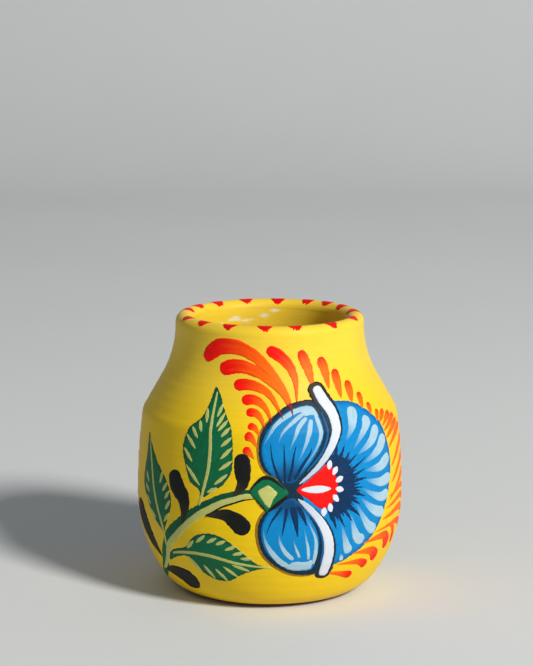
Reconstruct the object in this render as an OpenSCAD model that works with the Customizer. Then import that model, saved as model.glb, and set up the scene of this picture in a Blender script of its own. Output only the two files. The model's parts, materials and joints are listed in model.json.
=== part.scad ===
// Small hand-painted clay flower vase: a thick-walled, wide-mouthed pot with
// a yellow ground paint, and a blue flower, leaves, buds and feather-like
// strokes brushed on top. The fired clay is one solid; each paint is a layer.
//
// The design is laid out in points [turn, level]: degrees around the vase
// from its front, and height in mm on a vase as tall as drawn_height.

/* [Vase] */
// Height of the finished vase over its lip, mm
vase_height = 120; // [108:1:145]
// Radius of the belly at its widest, mm
belly_radius = 57.7; // [54:0.5:70]
// Height of the widest level, mm
belly_level = 41; // [34:1:50]
// Outer radius of the straight neck, mm
neck_radius = 40.7; // [34:0.5:45]
// Thickness of the clay wall, mm
wall = 7; // [5:0.5:8.5]

/* [Curves] */
// Radius of the round at the foot, mm
heel = 18.2; // [15:0.5:20]
// Radius of the arc under the belly, mm
lower_arc = 59.7; // [55:0.5:65]
// Radius of the nearly straight side above the belly, mm
upper_arc = 284.7; // [240:5:340]
// Radius of the round at the shoulder, mm
shoulder_round = 5; // [3:0.5:8]
// How far the shoulder slope runs inwards for each mm it rises
shoulder_slope = 0.58; // [0.5:0.01:0.65]
// Radius of the hollow between shoulder and neck, mm
neck_arc = 44.8; // [38:0.5:52]
// Straight part of the neck under the lip, mm
collar = 0.7; // [0.5:0.1:3]

/* [Paint] */
// Thickness of the yellow ground paint, mm
coat = 0.3; // [0.2:0.05:0.5]
// Thickness of a brushed layer on the ground paint, mm
film = 0.2; // [0.15:0.05:0.4]
// Height of bare clay left around the foot, mm
bare_foot = 1.2; // [0.8:0.1:3]
// Depth of the ground paint inside the mouth, mm
coated_depth = 30; // [20:1:40]
// Times the flower design is repeated around the vase
design_count = 2; // [1:1:2]

/* [Hidden] */
$fn = 96;
drawn_height = 120;
design_scale = vase_height / drawn_height;
lip = wall / 2;
clay_height = vase_height - coat;
clay_belly = belly_radius - coat;
clay_neck = neck_radius - coat;
clear = 200;
inner_round = 3;
comma_steps = 8;
ribbon_steps = 14;
span_steps = 3;

// Centres of the arcs of the clay's outline, as [radius, height].
upper_centre = [clay_belly - upper_arc, belly_level];
lower_centre = [clay_belly - lower_arc, belly_level];
heel_rise = belly_level - heel;
heel_centre = [lower_centre.x + sqrt(pow(lower_arc - heel, 2) - pow(heel_rise, 2)), heel];
lip_centre = [clay_neck - lip, clay_height - lip];
neck_centre = [clay_neck + neck_arc, lip_centre.y - collar];
shoulder_lean = atan(shoulder_slope);
slope_out = [cos(shoulder_lean), sin(shoulder_lean)];
slope_reach = neck_centre * slope_out - neck_arc;

// ---- Outline of the vase, grown outwards by g ----

function corner_round(g) = max(shoulder_round + g, inner_round);
function corner_reach(g) = upper_arc + g - corner_round(g);
function corner_turn(g) = shoulder_lean
    - acos((slope_reach + g - corner_round(g) - upper_centre * slope_out) / corner_reach(g));
function corner_centre(g) = upper_centre
    + corner_reach(g) * [cos(corner_turn(g)), sin(corner_turn(g))];
function corner_end(g) = corner_centre(g) + corner_round(g) * slope_out;

// Levels at which one stretch of the outline passes into the next.
function floor_level(g) = max(0, -g);
function heel_top(g) = heel - (heel + g) * heel_rise / (lower_arc - heel);
function side_top(g) = belly_level + (upper_arc + g) * sin(corner_turn(g));
function slope_top(g) = neck_centre.y - (neck_arc - g) * slope_out.y;

function arc_radius(centre, radius, level) =
    centre.x + sqrt(pow(radius, 2) - pow(level - centre.y, 2));

// Radius of the grown outline at a level.
function vase_radius(g, level) =
    level < heel_top(g) ? arc_radius(heel_centre, heel + g, level)
    : level < belly_level ? arc_radius(lower_centre, lower_arc + g, level)
    : level < side_top(g) ? arc_radius(upper_centre, upper_arc + g, level)
    : level < corner_end(g).y ? arc_radius(corner_centre(g), corner_round(g), level)
    : level < slope_top(g) ? corner_end(g).x - (level - corner_end(g).y) * shoulder_slope
    : level < neck_centre.y
        ? 2 * neck_centre.x - arc_radius(neck_centre, neck_arc - g, level)
    : clay_neck + g;

// Moves in a whole number of microns and then the rest, so that the arcs
// still meet exactly when the moves are written out with six digits.
function microns(p) = [round(p.x * 1000), round(p.y * 1000)] / 1000;
module at(p) {
    translate(microns(p)) translate(p - microns(p)) children();
}

module above(level) {
    at([0, level]) square([clear, clear]);
}

module band(low, high) {
    difference() {
        above(low);
        above(high);
    }
}

module bulge(centre, radius, low, high) {
    intersection() {
        union() {
            at(centre) circle(radius);
            if (centre.x > 0) at([0, centre.y - clear]) square([microns(centre).x, clear * 2]);
        }
        band(low, high);
    }
}

module slope(g) {
    intersection() {
        at(corner_end(g)) polygon([
            [shoulder_slope * clear / 2, -clear / 2],
            [-shoulder_slope * clear / 2, clear / 2],
            [-clear, clear / 2],
            [-clear, -clear / 2]
        ]);
        band(corner_end(g).y, slope_top(g));
    }
}

module hollow(g) {
    difference() {
        intersection() {
            square([neck_centre.x, clear]);
            band(slope_top(g), neck_centre.y);
        }
        at(neck_centre) circle(neck_arc - g);
    }
}

module outline(g) {
    bulge(heel_centre, heel + g, floor_level(g), heel_top(g));
    bulge(lower_centre, lower_arc + g, heel_top(g), belly_level);
    bulge(upper_centre, upper_arc + g, belly_level, side_top(g));
    bulge(corner_centre(g), corner_round(g), side_top(g), corner_end(g).y);
    slope(g);
    hollow(g);
    at([0, neck_centre.y]) square([clay_neck + g, collar]);
}

// Everything between two growths of the outline.
module skin(inner, outer) {
    difference() {
        outline(outer);
        outline(inner);
    }
}

module lip_skin(inner, outer) {
    intersection() {
        at(lip_centre) difference() {
            circle(lip + outer);
            circle(lip + inner);
        }
        above(lip_centre.y);
    }
}

// ---- Clay and ground paint ----

module clay_body() {
    color([0.62, 0.31, 0.19]) rotate_extrude() {
        skin(-wall, 0);
        intersection() {
            at(lip_centre) circle(lip);
            above(lip_centre.y);
        }
    }
}

module ground_coat() {
    color([0.93, 0.76, 0.12]) rotate_extrude() {
        intersection() {
            skin(0, coat);
            above(bare_foot);
        }
        intersection() {
            skin(-wall - coat, -wall);
            above(vase_height - coated_depth);
        }
        lip_skin(0, coat);
    }
}

// ---- Brush marks, drawn flat as seen square on from $turn ----

function level_of(point) = point.y * design_scale;
function flat(point) =
    [vase_radius(coat, level_of(point)) * sin(point.x - $turn), level_of(point)];

// A smooth curve through points; t counts the points passed.
function bend(a, b, c, d, f) =
    b + (c - a) * f / 2 + (a - 2.5 * b + 2 * c - d / 2) * f * f
    + (3 * b - a - 3 * c + d) * f * f * f / 2;
function through(points, t) =
    let (last = len(points) - 1, i = min(floor(t), last - 1), b = points[i], c = points[i + 1])
    bend(
        i > 0 ? points[i - 1] : 2 * b - c,
        b,
        c,
        i < last - 1 ? points[i + 2] : 2 * c - b,
        t - i
    );
function around(points, t) =
    let (n = len(points), i = floor(t))
    bend(points[(i + n - 1) % n], points[i % n], points[(i + 1) % n], points[(i + 2) % n], t - i);

// Width of a mark at the fraction f of its length, as a part of its full width.
// A smaller bluntness gives fuller ends; early_press moves the widest place to the head.
function swell(f, bluntness) = pow(sin(180 * f), bluntness);
early_press = 0.45;
comma = function(f) swell(pow(f, early_press), 0.8);
petal = function(f) swell(f, 0.7);
ribbon = function(f) swell(f, 0.25);

// How far before and after a place its direction is taken, in points of the list.
nearby = 0.02;

// Fractions from 0 to 1 that are closer together at both ends.
function spread(i, steps) = (1 - cos(180 * i / steps)) / 2;

function edge(points, width, shape, f, side) =
    let (
        last = len(points) - 1,
        t = f * last,
        here = flat(through(points, t)),
        before = flat(through(points, max(t - nearby, 0))),
        after = flat(through(points, min(t + nearby, last))),
        run = after - before,
        across = [-run.y, run.x] / norm(run)
    )
    here + across * side * width * design_scale * shape(f) / 2;

module mark(points, width, shape, steps) {
    polygon([
        for (i = [0 : steps]) edge(points, width, shape, spread(i, steps), 1),
        for (i = [steps - 1 : -1 : 1]) edge(points, width, shape, spread(i, steps), -1)
    ]);
}

// A mark list holds [width, points from head to tail].
module marks(list, shape, steps) {
    for (item = list) mark(item[1], item[0], shape, steps);
}

// A closed area whose edge runs smoothly through points.
module area(points) {
    polygon([for (i = [0 : len(points) * span_steps - 1]) flat(around(points, i / span_steps))]);
}

// Lays flat marks on the vase as one layer of paint, for each repeat of the design.
module painted(turn) {
    $turn = turn;
    for (i = [0 : design_count - 1]) rotate([0, 0, i * 360 / design_count]) intersection() {
        rotate_extrude() intersection() {
            skin(coat, coat + film);
            above(bare_foot);
        }
        rotate([0, 0, turn]) rotate([90, 0, 0]) linear_extrude(clear) children();
    }
}

// ---- Dabs over the lip and feather strokes ----

dab_turns = [-67, -47, -26, -3, 16.5, 43, 70, 97, 118, 135, 151.5, 174, 197, 220, 240, 257];
dab_span = 9;
dab_reach = 6.8;

module rim_dabs() {
    color([0.95, 0.25, 0.05])
    for (turn = dab_turns) rotate([0, 0, turn - 90 - dab_span / 2]) rotate_extrude(angle = dab_span) {
        lip_skin(coat, coat + film);
        intersection() {
            skin(coat, coat + film);
            band(vase_height - dab_reach * design_scale, lip_centre.y);
        }
    }
}

left_feathers = [
    [6.2, [[-41, 106], [-9, 110.3], [9.5, 91.8]]],
    [5.2, [[-28.3, 102.7], [-4.5, 101.8], [5.8, 90]]],
    [4.6, [[-18.5, 96.8], [-4, 94.7], [1.6, 87.2]]],
    [4.0, [[-13, 91.5], [-5.5, 89.6], [-2, 83.8]]],
    [3.2, [[-10.3, 86.8], [-7, 85], [-4.6, 80.8]]],
    [2.6, [[-9.6, 80.6], [-7.5, 79.8], [-5.6, 77.6]]],
    [2.6, [[-10, 76.6], [-8, 75.6], [-6, 73.4]]],
    [2.6, [[-10.3, 72.2], [-8.6, 71], [-6.8, 69.4]]]
];
top_feathers = [
    [5.6, [[-0.4, 111], [10, 104.5], [13, 92.5]]],
    [5.0, [[18.2, 109.3], [21.8, 103.5], [20.5, 98.5]]],
    [4.6, [[30, 106.8], [32.5, 102.5], [33.5, 97]]],
    [4.4, [[39.2, 101], [39.8, 96.5], [36.8, 91]]],
    [4.2, [[46.4, 95.5], [45.6, 92], [43.4, 89]]],
    [3.6, [[51.5, 90], [50.2, 88.2], [48.6, 86.2]]],
    [2.8, [[55.5, 86], [54.4, 84.6], [53, 83]]],
    [2.2, [[59.4, 83.2], [58, 81.8], [56.4, 80.4]]]
];
right_feathers = [
    [2.4, [[64.4, 81.8], [61.5, 80], [59.4, 77.8]]],
    [2.8, [[69.2, 79.8], [65, 77.6], [62.4, 74.6]]],
    [3.6, [[75, 76], [69.5, 73.8], [65, 70.8]]],
    [3.8, [[82, 72.6], [74.5, 71], [66.6, 66.8]]],
    [4.2, [[94, 64.5], [81, 65.3], [67.4, 58.8]]],
    [4.0, [[94, 56.5], [82, 58], [67, 51.8]]],
    [3.0, [[95, 48.5], [82, 51.2], [66, 46.6]]],
    [1.8, [[95, 43.2], [81, 46.2], [64, 44]]],
    [2.4, [[95, 37.6], [79, 41.8], [61.8, 40.2]]],
    [2.6, [[93, 29.5], [78, 37], [58.8, 36]]]
];
low_feathers = [
    [3.2, [[91, 23.5], [74, 31.6], [62, 34.2]]],
    [3.2, [[71.5, 22.5], [68, 28.4], [63, 31.6]]],
    [4.6, [[65, 22.3], [58.5, 27.2], [50, 25.8]]],
    [4.4, [[57, 18.6], [51, 22.4], [44, 22.8]]],
    [3.4, [[50.4, 17.2], [43.5, 20], [35.6, 20.6]]],
    [2.9, [[42.4, 14.4], [35.5, 15.8], [31.4, 16]]]
];

module feather_strokes() {
    color([0.95, 0.2, 0.05]) {
        painted(-14) marks(left_feathers, comma, comma_steps);
        painted(28) marks(top_feathers, comma, comma_steps);
        painted(78) marks(right_feathers, comma, comma_steps);
        painted(60) marks(low_feathers, comma, comma_steps);
    }
}

// ---- Flower: open blue disc, two folded side petals and a red throat ----

flower_turn = 28;
disc_centre = [30, 55.5];
disc_half_turn = 34;
disc_half_height = 33.5;
disc_points = [
    for (i = [0 : 30 : 330]) disc_centre + [disc_half_turn * cos(i), disc_half_height * sin(i)]
];

module disc_area() {
    area(disc_points);
}

rays = [
    [5.4, [[42.6, 85.6], [39, 79.5], [34.6, 73.4]]],
    [5.0, [[49.2, 81.2], [45.2, 76.6], [38.4, 70]]],
    [5.2, [[54, 76.4], [49, 71.2], [40.4, 67]]],
    [5.2, [[58.6, 70.6], [53, 66.6], [43, 63]]],
    [5.2, [[61.6, 62.4], [54.6, 60.2], [44, 59.6]]],
    [4.8, [[61.8, 53.6], [54, 53.4], [44, 55.4]]],
    [4.8, [[59.6, 46.8], [52, 47.4], [42, 52.2]]],
    [4.8, [[55.6, 39.8], [49, 42.4], [41.4, 48]]],
    [4.8, [[50.4, 33.6], [45, 37], [38.8, 46]]],
    [4.8, [[43.6, 29.2], [39, 33.6], [35.8, 42]]],
    [3.8, [[37.2, 26.4], [35, 30.4], [33.4, 37]]]
];

shade_points = [
    [25, 66], [30, 68.5], [34, 66], [37, 61], [38, 56], [36.5, 50.5], [33, 46], [27, 43.5]
];
throat_points = [
    [11.6, 55.3], [15.5, 58.6], [20.6, 62], [25.2, 64], [28.6, 60.6],
    [29.4, 55.4], [28.2, 50], [24.4, 46.8], [20.6, 47.6], [15.6, 52]
];
flame = [3.6, [[13.4, 55.3], [20, 55], [26, 54.8]]];
stamen_points = [
    [25.8, 65], [28.6, 61.8], [30.2, 58], [30.2, 54], [28.7, 50.2], [26, 46.6], [22.8, 45]
];
stamen_length = 3.8;
stamen_width = 2.6;

// The fold lines, cuffs and fills of the upper and the lower side petal.
upper_back = [
    [12, 60.3], [8, 58.2], [3.4, 58.6], [-1, 60.2], [-3.8, 63], [-5.2, 67.7], [-5.6, 73],
    [-5, 78.4], [-2.4, 82], [1.6, 85.4], [7, 88.6], [13.4, 90.3], [20, 91], [24, 89.4],
    [26.8, 84], [26.8, 77.5], [24, 71], [19, 65]
];
lower_back = [
    [12, 50.4], [9, 51.6], [4.6, 51.2], [0.4, 50], [-3.4, 47.4], [-5.2, 43], [-5.7, 38.5],
    [-5.2, 33.6], [-2.8, 27], [0, 22.2], [5, 19.2], [11.4, 18], [19, 18.6], [22.4, 22],
    [23.6, 28.8], [23.4, 34.4], [21.4, 40.6], [17.6, 46]
];
upper_fill = [
    [12.2, 61.5], [8, 60.2], [4.1, 60.6], [0, 61.6], [-2.8, 63.8], [-4.2, 67.9], [-4.6, 73],
    [-4, 77.3], [-1.5, 80], [2.4, 83.3], [7.8, 86.4], [13.7, 88], [20, 88.9], [22, 87.4],
    [23.6, 83.5], [23.7, 77.4], [21.6, 72.6], [17.5, 66.9]
];
lower_fill = [
    [12, 49.1], [9, 49.8], [5.4, 49.4], [1.6, 48.3], [-2.4, 46.3], [-4.2, 42.6], [-4.7, 38.5],
    [-4.2, 34], [-1.9, 28], [0.9, 23.6], [5.5, 20.7], [11.4, 19.6], [18.2, 20.4], [19.9, 22.7],
    [21, 28.8], [20.9, 34.2], [19.1, 39.7], [16.7, 43.7]
];
cuff_backs = [
    [9.4, [[22, 97], [30.2, 87], [29.6, 77], [21.4, 65.8], [10.6, 56.6]]],
    [9.8, [[24, 13.4], [27, 27], [24.6, 38.4], [17.6, 47], [10.4, 53]]]
];
cuffs = [
    [6.2, [[23.8, 95.6], [29.8, 86.6], [29.4, 77], [21.6, 66.2], [12, 57.6]]],
    [5.8, [[24, 16.2], [26, 27.4], [23.8, 38.4], [17.6, 46.2], [11.6, 51.8]]]
];
upper_veins = [
    [1.5, [[3.4, 62.6], [1.2, 68], [0.3, 75.5]]],
    [1.3, [[6.3, 62.6], [6.1, 69], [6, 75]]],
    [1.4, [[8.6, 62.6], [10.2, 69], [11.3, 74]]],
    [1.6, [[12.4, 63.8], [15.2, 67.6], [17.9, 72.4]]]
];
lower_veins = [
    [1.3, [[3.8, 46.8], [0.6, 42], [-1.2, 37]]],
    [1.6, [[6.8, 47.2], [5.9, 41.4], [5.1, 35.8]]],
    [3.0, [[9.3, 47.8], [10.6, 42], [11.6, 35.4]]],
    [2.2, [[12, 46.8], [13.8, 43.8], [15.4, 39.8]]]
];
upper_lights = [
    [2.2, [[19, 87], [7, 84.8], [0.8, 79.4], [-2, 73.6]]],
    [2.2, [[18.4, 86], [9.4, 82.4], [5.2, 79], [3.6, 76]]],
    [2.2, [[19, 85.4], [12.6, 79.6], [8.8, 75]]],
    [2.4, [[20, 85.6], [17, 77], [14.4, 72]]],
    [2.4, [[20.8, 86.6], [22, 79], [19.4, 72.6]]]
];
lower_lights = [
    [3.0, [[13, 22], [4.2, 25.2], [-0.2, 30.6], [-2.4, 38]]],
    [2.6, [[14.4, 23], [6.8, 28.8], [3.7, 36.6]]],
    [1.8, [[15.4, 23.4], [11.2, 30.2], [9.5, 34.8]]],
    [1.8, [[17, 23], [16, 30], [14.4, 38]]],
    [2.0, [[18.4, 22.6], [19.2, 30.6], [17.2, 39.4]]]
];

module petal_lights() {
    marks(upper_lights, comma, comma_steps);
    marks(lower_lights, comma, comma_steps);
}

module veins() {
    marks(upper_veins, comma, comma_steps);
    marks(lower_veins, comma, comma_steps);
}

module cuff_marks() {
    marks(cuffs, comma, comma_steps);
}

module throat_area() {
    area(throat_points);
}

module flame_mark() {
    mark(flame[1], flame[0], petal, comma_steps);
}

module stamen_dots() {
    for (point = stamen_points) translate(flat(point))
        scale([stamen_length / stamen_width, 1]) circle(d = stamen_width * design_scale, $fn = 12);
}

module petal_backs() {
    area(upper_back);
    area(lower_back);
    marks(cuff_backs, comma, comma_steps);
}

module petal_fills() {
    area(upper_fill);
    area(lower_fill);
}

module flower_disc() {
    color([0.0, 0.55, 0.83]) painted(flower_turn) difference() {
        disc_area();
        marks(rays, comma, comma_steps);
        area(shade_points);
        throat_area();
        stamen_dots();
        petal_backs();
        cuff_marks();
        calyx_area();
    }
}

module disc_highlights() {
    color([0.67, 0.79, 0.87]) painted(flower_turn) difference() {
        marks(rays, comma, comma_steps);
        petal_backs();
    }
}

module throat_shade() {
    color([0.0, 0.22, 0.4]) painted(flower_turn) difference() {
        area(shade_points);
        marks(rays, comma, comma_steps);
        throat_area();
        stamen_dots();
        petal_backs();
    }
}

module throat() {
    color([0.91, 0.03, 0.02]) painted(flower_turn) difference() {
        throat_area();
        flame_mark();
        stamen_dots();
        cuff_marks();
    }
}

module stamens() {
    color([0.89, 0.9, 0.92]) painted(flower_turn) difference() {
        union() {
            stamen_dots();
            flame_mark();
        }
        cuff_marks();
    }
}

module petal_outlines() {
    color([0.04, 0.18, 0.25]) painted(flower_turn) difference() {
        petal_backs();
        petal_fills();
        cuff_marks();
        throat_area();
        stamen_dots();
        calyx_area();
    }
}

module side_petals() {
    color([0.0, 0.57, 0.86]) painted(flower_turn) difference() {
        petal_fills();
        petal_lights();
        veins();
        cuff_marks();
        calyx_area();
    }
}

module petal_highlights() {
    color([0.67, 0.79, 0.87]) painted(flower_turn) difference() {
        petal_lights();
        veins();
        cuff_marks();
    }
}

module petal_veins() {
    color([0.0, 0.23, 0.43]) painted(flower_turn) difference() {
        veins();
        calyx_area();
    }
}

module petal_cuffs() {
    color([0.89, 0.9, 0.92]) painted(flower_turn) cuff_marks();
}

// ---- Calyx, stems, leaves and buds ----

calyx_points = [
    [-7, 55], [-4.4, 59], [-0.4, 61.4], [3.4, 59],
    [6.6, 55.4], [3.8, 50.6], [-0.6, 46], [-4.4, 49.6]
];
core_points = [
    [-4.8, 54.6], [-2.6, 56.9], [-0.3, 57.8], [1.6, 56.4],
    [3.3, 54.2], [1.8, 51], [0, 48.2], [-3.2, 50.6]
];

module calyx_area() {
    area(calyx_points);
}

module core_area() {
    area(core_points);
}

module calyx() {
    color([0.08, 0.3, 0.2]) painted(flower_turn) difference() {
        calyx_area();
        core_area();
    }
}

module calyx_core() {
    color([0.82, 0.84, 0.52]) painted(flower_turn) core_area();
}

foliage_turn = -36;
stem_points = [
    [-69, 8.4], [-60.6, 14.6], [-54.6, 21.6], [-46.6, 32.2],
    [-36, 41.4], [-26, 47.8], [-16, 51.8], [-6.4, 53.8]
];
stem_width = 5;
stem_light_width = 2.8;
midrib_width = 1.7;
tick_width = 1.5;
stem_light = [
    [-60, 13.6], [-53.3, 20.4], [-44.8, 31], [-35, 39.8], [-25, 46.7], [-15, 51.2], [-6.2, 53.4]
];
tall_leaf = [
    [-29, 95.3], [-24.8, 92], [-22.6, 88.7], [-19.5, 84.3], [-16.8, 80.5], [-15.6, 75.1],
    [-15.4, 69], [-15.5, 64.4], [-16.8, 60.6], [-20.4, 56.4], [-24.4, 53.8], [-28, 51.2],
    [-30.6, 53], [-34.8, 56.4], [-37.8, 63], [-39.4, 67.5], [-39.4, 73], [-37.4, 78.4],
    [-32.6, 83], [-30.6, 88.6]
];
left_leaf = [
    [-65.2, 72.8], [-62.6, 69.3], [-58.6, 64.7], [-52, 58.3], [-48.7, 54.8], [-46, 49.6],
    [-45.5, 44.5], [-47.3, 39.3], [-51.4, 32.2], [-57, 35.7], [-61.5, 40.3], [-66, 45],
    [-68.4, 50.6], [-67.4, 58], [-66, 66]
];
low_leaf = [
    [-1.5, 21.8], [-5.4, 23.7], [-9.8, 27], [-15.7, 31.9], [-20.6, 34.9], [-25, 35.7],
    [-29.7, 35.2], [-33, 33.7], [-38, 28.6], [-47.5, 25], [-46.6, 22], [-39.3, 23.2],
    [-32.5, 17.3], [-28.3, 15.1], [-23.8, 14], [-18.2, 14.6], [-10.2, 19], [-5.8, 20.4]
];
midribs = [
    [[-27.6, 93.6], [-26.8, 85], [-25.8, 74], [-26.4, 63], [-28.4, 54.4], [-30.2, 47.4]],
    [[-63, 70], [-60.4, 60], [-58, 50.4], [-55, 41.6], [-52, 34.4], [-51.4, 26.4]],
    [[-2.4, 22], [-12, 23.2], [-22, 24.8], [-31, 25.6], [-40, 25], [-49, 22.9]]
];
ticks = [
    [[-23, 88.8], [-24.2, 84.8]], [[-21.2, 85.2], [-23.2, 81.2]], [[-19.6, 82.4], [-21.8, 79.6]],
    [[-18, 79.6], [-20.6, 77]], [[-17, 76], [-20.2, 73]], [[-16.6, 71.8], [-20.2, 68.2]],
    [[-16.6, 66.4], [-20.6, 63.4]], [[-18.4, 60.8], [-22.6, 57.4]], [[-30, 86.4], [-29, 82.4]],
    [[-32.2, 81.8], [-30.6, 78.4]], [[-35, 78.8], [-32.6, 75.6]], [[-37.4, 75.4], [-33.6, 71.4]],
    [[-38, 69.8], [-34.8, 65.8]], [[-36.6, 62.6], [-31.4, 57]],
    [[-52.4, 57.6], [-53.8, 53.6]], [[-49.2, 53.4], [-51.4, 50]], [[-47.4, 50], [-49.6, 47]],
    [[-46.9, 46.2], [-49.4, 42.6]], [[-47.8, 41], [-50, 37.2]], [[-65.8, 55.4], [-63.4, 51.8]],
    [[-66.4, 50.2], [-63, 47.4]], [[-65, 46], [-61.6, 43]], [[-61, 41], [-57.8, 38.4]],
    [[-34.2, 31.2], [-37, 28.2]], [[-28.2, 34.2], [-31.8, 31]], [[-23, 34], [-26.6, 31.8]],
    [[-18.9, 32.8], [-22.6, 31.2]], [[-14.6, 30.6], [-18.4, 29.2]], [[-11.4, 28], [-15.2, 27.2]],
    [[-36, 22.2], [-33, 18.8]], [[-29.8, 20], [-26.6, 16]], [[-24, 18.8], [-20.6, 15.4]],
    [[-19.6, 20.4], [-15.2, 17.4]], [[-15.2, 21.8], [-9.8, 20.2]]
];
buds = [
    [8.4, [[-44.4, 60], [-39.6, 50.4], [-38.8, 38]]],
    [7.2, [[-11.6, 70.2], [-11.2, 61.4], [-14.4, 53]]],
    [8.0, [[-9, 37.4], [-15.8, 42.8], [-27, 43.4]]],
    [6.6, [[-38.6, 9.9], [-47, 13.6], [-59.6, 12.6]]],
    [5.4, [[-73.6, 37], [-66, 31.4], [-59.4, 21.6]]]
];

module stem_mark() {
    mark(stem_points, stem_width, ribbon, ribbon_steps);
}

module stem_light_mark() {
    mark(stem_light, stem_light_width, ribbon, ribbon_steps);
}

module rib_marks() {
    for (points = midribs) mark(points, midrib_width, ribbon, ribbon_steps);
    for (points = ticks) mark(points, tick_width, petal, comma_steps);
}

module blades() {
    area(tall_leaf);
    area(left_leaf);
    area(low_leaf);
}

module stems() {
    color([0.05, 0.38, 0.24]) painted(foliage_turn) difference() {
        stem_mark();
        stem_light_mark();
        rib_marks();
    }
}

module stem_lights() {
    color([0.8, 0.83, 0.48]) painted(foliage_turn) stem_light_mark();
}

module leaf_blades() {
    color([0.05, 0.4, 0.24]) painted(foliage_turn) difference() {
        blades();
        rib_marks();
        stem_mark();
    }
}

module leaf_ribs() {
    color([0.8, 0.83, 0.51]) painted(foliage_turn) difference() {
        rib_marks();
        stem_light_mark();
    }
}

module bud_strokes() {
    color([0.09, 0.09, 0.08]) painted(foliage_turn) difference() {
        marks(buds, comma, comma_steps);
        stem_mark();
        stem_light_mark();
        blades();
    }
}

clay_body();
ground_coat();
rim_dabs();
feather_strokes();
flower_disc();
disc_highlights();
throat_shade();
throat();
stamens();
petal_outlines();
side_petals();
petal_highlights();
petal_veins();
petal_cuffs();
calyx();
calyx_core();
stems();
stem_lights();
leaf_blades();
leaf_ribs();
bud_strokes();
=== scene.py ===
"""Looks of the hand-painted clay vase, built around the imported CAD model.

The vase is one thrown clay pot. Its ground paint and every brushed colour are
thin closed meshes laid on the same curved wall. The painted design is given in
points [turn, level]: degrees around the vase from its front, and mm of height.
"""

import json
import math
import random

import bpy
import numpy as np
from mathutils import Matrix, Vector
from mathutils.geometry import delaunay_2d_cdt


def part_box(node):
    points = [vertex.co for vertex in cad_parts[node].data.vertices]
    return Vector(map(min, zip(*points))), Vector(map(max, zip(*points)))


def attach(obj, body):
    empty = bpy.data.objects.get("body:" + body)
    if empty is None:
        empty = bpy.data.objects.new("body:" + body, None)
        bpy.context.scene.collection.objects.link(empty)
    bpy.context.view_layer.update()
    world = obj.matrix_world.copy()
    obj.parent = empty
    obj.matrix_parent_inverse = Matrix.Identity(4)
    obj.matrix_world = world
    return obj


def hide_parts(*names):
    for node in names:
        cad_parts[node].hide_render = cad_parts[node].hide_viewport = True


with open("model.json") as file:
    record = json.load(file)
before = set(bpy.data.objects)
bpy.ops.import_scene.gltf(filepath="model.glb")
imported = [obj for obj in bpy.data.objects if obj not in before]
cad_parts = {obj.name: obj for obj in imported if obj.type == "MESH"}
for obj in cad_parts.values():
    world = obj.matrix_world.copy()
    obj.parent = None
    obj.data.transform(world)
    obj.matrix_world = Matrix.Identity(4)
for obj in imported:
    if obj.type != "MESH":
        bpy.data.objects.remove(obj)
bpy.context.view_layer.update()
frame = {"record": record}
SLOTS = {part["node"]: part["material_slot"] for part in frame["record"]["subparts"]}
MM = 0.001

# ---- Sizes in mm: the finished box comes from the CAD, the arcs repeat its outline ----

COAT_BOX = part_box("ground_coat")
COAT = 0.3
WALL = 7.0
HEIGHT = COAT_BOX[1][2] / MM - COAT
BELLY = COAT_BOX[1][0] / MM - COAT
NECK = 40.4
BELLY_LEVEL = 41.0
HEEL = 18.2
LOWER_ARC = 59.7
UPPER_ARC = 284.7
SHOULDER_ROUND = 5.0
INNER_ROUND = 3.0
SHOULDER_SLOPE = 0.58
NECK_ARC = 44.8
COLLAR = 0.7
LIP = WALL / 2
BARE_FOOT = 1.3
COATED_DEPTH = 30.0

UPPER_CENTRE = np.array([BELLY - UPPER_ARC, BELLY_LEVEL])
LOWER_CENTRE = np.array([BELLY - LOWER_ARC, BELLY_LEVEL])
HEEL_RUN = math.sqrt((LOWER_ARC - HEEL) ** 2 - (BELLY_LEVEL - HEEL) ** 2)
HEEL_CENTRE = np.array([LOWER_CENTRE[0] + HEEL_RUN, HEEL])
LIP_CENTRE = np.array([NECK - LIP, HEIGHT - LIP])
NECK_CENTRE = np.array([NECK + NECK_ARC, LIP_CENTRE[1] - COLLAR])
LEAN = math.degrees(math.atan(SHOULDER_SLOPE))


# ---- Outline of the wall and the surface it turns ----

def toward(angle):
    return np.array([math.cos(math.radians(angle)), math.sin(math.radians(angle))])


def arc(centre, radius, start, stop, step=0.4):
    count = max(2, math.ceil(abs(math.radians(stop - start)) * radius / step))
    angles = np.radians(np.linspace(start, stop, count + 1))
    return centre + radius * np.column_stack([np.cos(angles), np.sin(angles)])


def wall_curve(grow):
    """The outline from the foot to the lip, at a distance grow outside the clay."""
    slope_out = toward(LEAN)
    slope_reach = NECK_CENTRE @ slope_out - NECK_ARC
    corner = max(SHOULDER_ROUND + grow, INNER_ROUND)
    reach = UPPER_ARC + grow - corner
    opening = (slope_reach + grow - corner - UPPER_CENTRE @ slope_out) / reach
    corner_turn = LEAN - math.degrees(math.acos(opening))
    heel_side = HEEL_CENTRE - LOWER_CENTRE
    heel_turn = math.degrees(math.atan2(heel_side[1], heel_side[0]))
    return np.vstack([
        arc(HEEL_CENTRE, HEEL + grow, -90, heel_turn),
        arc(LOWER_CENTRE, LOWER_ARC + grow, heel_turn, 0)[1:],
        arc(UPPER_CENTRE, UPPER_ARC + grow, 0, corner_turn)[1:],
        arc(UPPER_CENTRE + reach * toward(corner_turn), corner, corner_turn, LEAN)[1:],
        arc(NECK_CENTRE, NECK_ARC - grow, 180 + LEAN, 180),
    ])


def whole_curve(coat):
    """Up the outside, over the lip and down the inside, with a coat on the clay."""
    return np.vstack([
        wall_curve(coat),
        arc(LIP_CENTRE, LIP + coat, 0, 180),
        wall_curve(-WALL - coat)[::-1],
    ])


def runs_along(points):
    """How far along its line each of the points lies."""
    return np.concatenate([[0], np.cumsum(np.linalg.norm(np.diff(points, axis=0), axis=1))])


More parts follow.
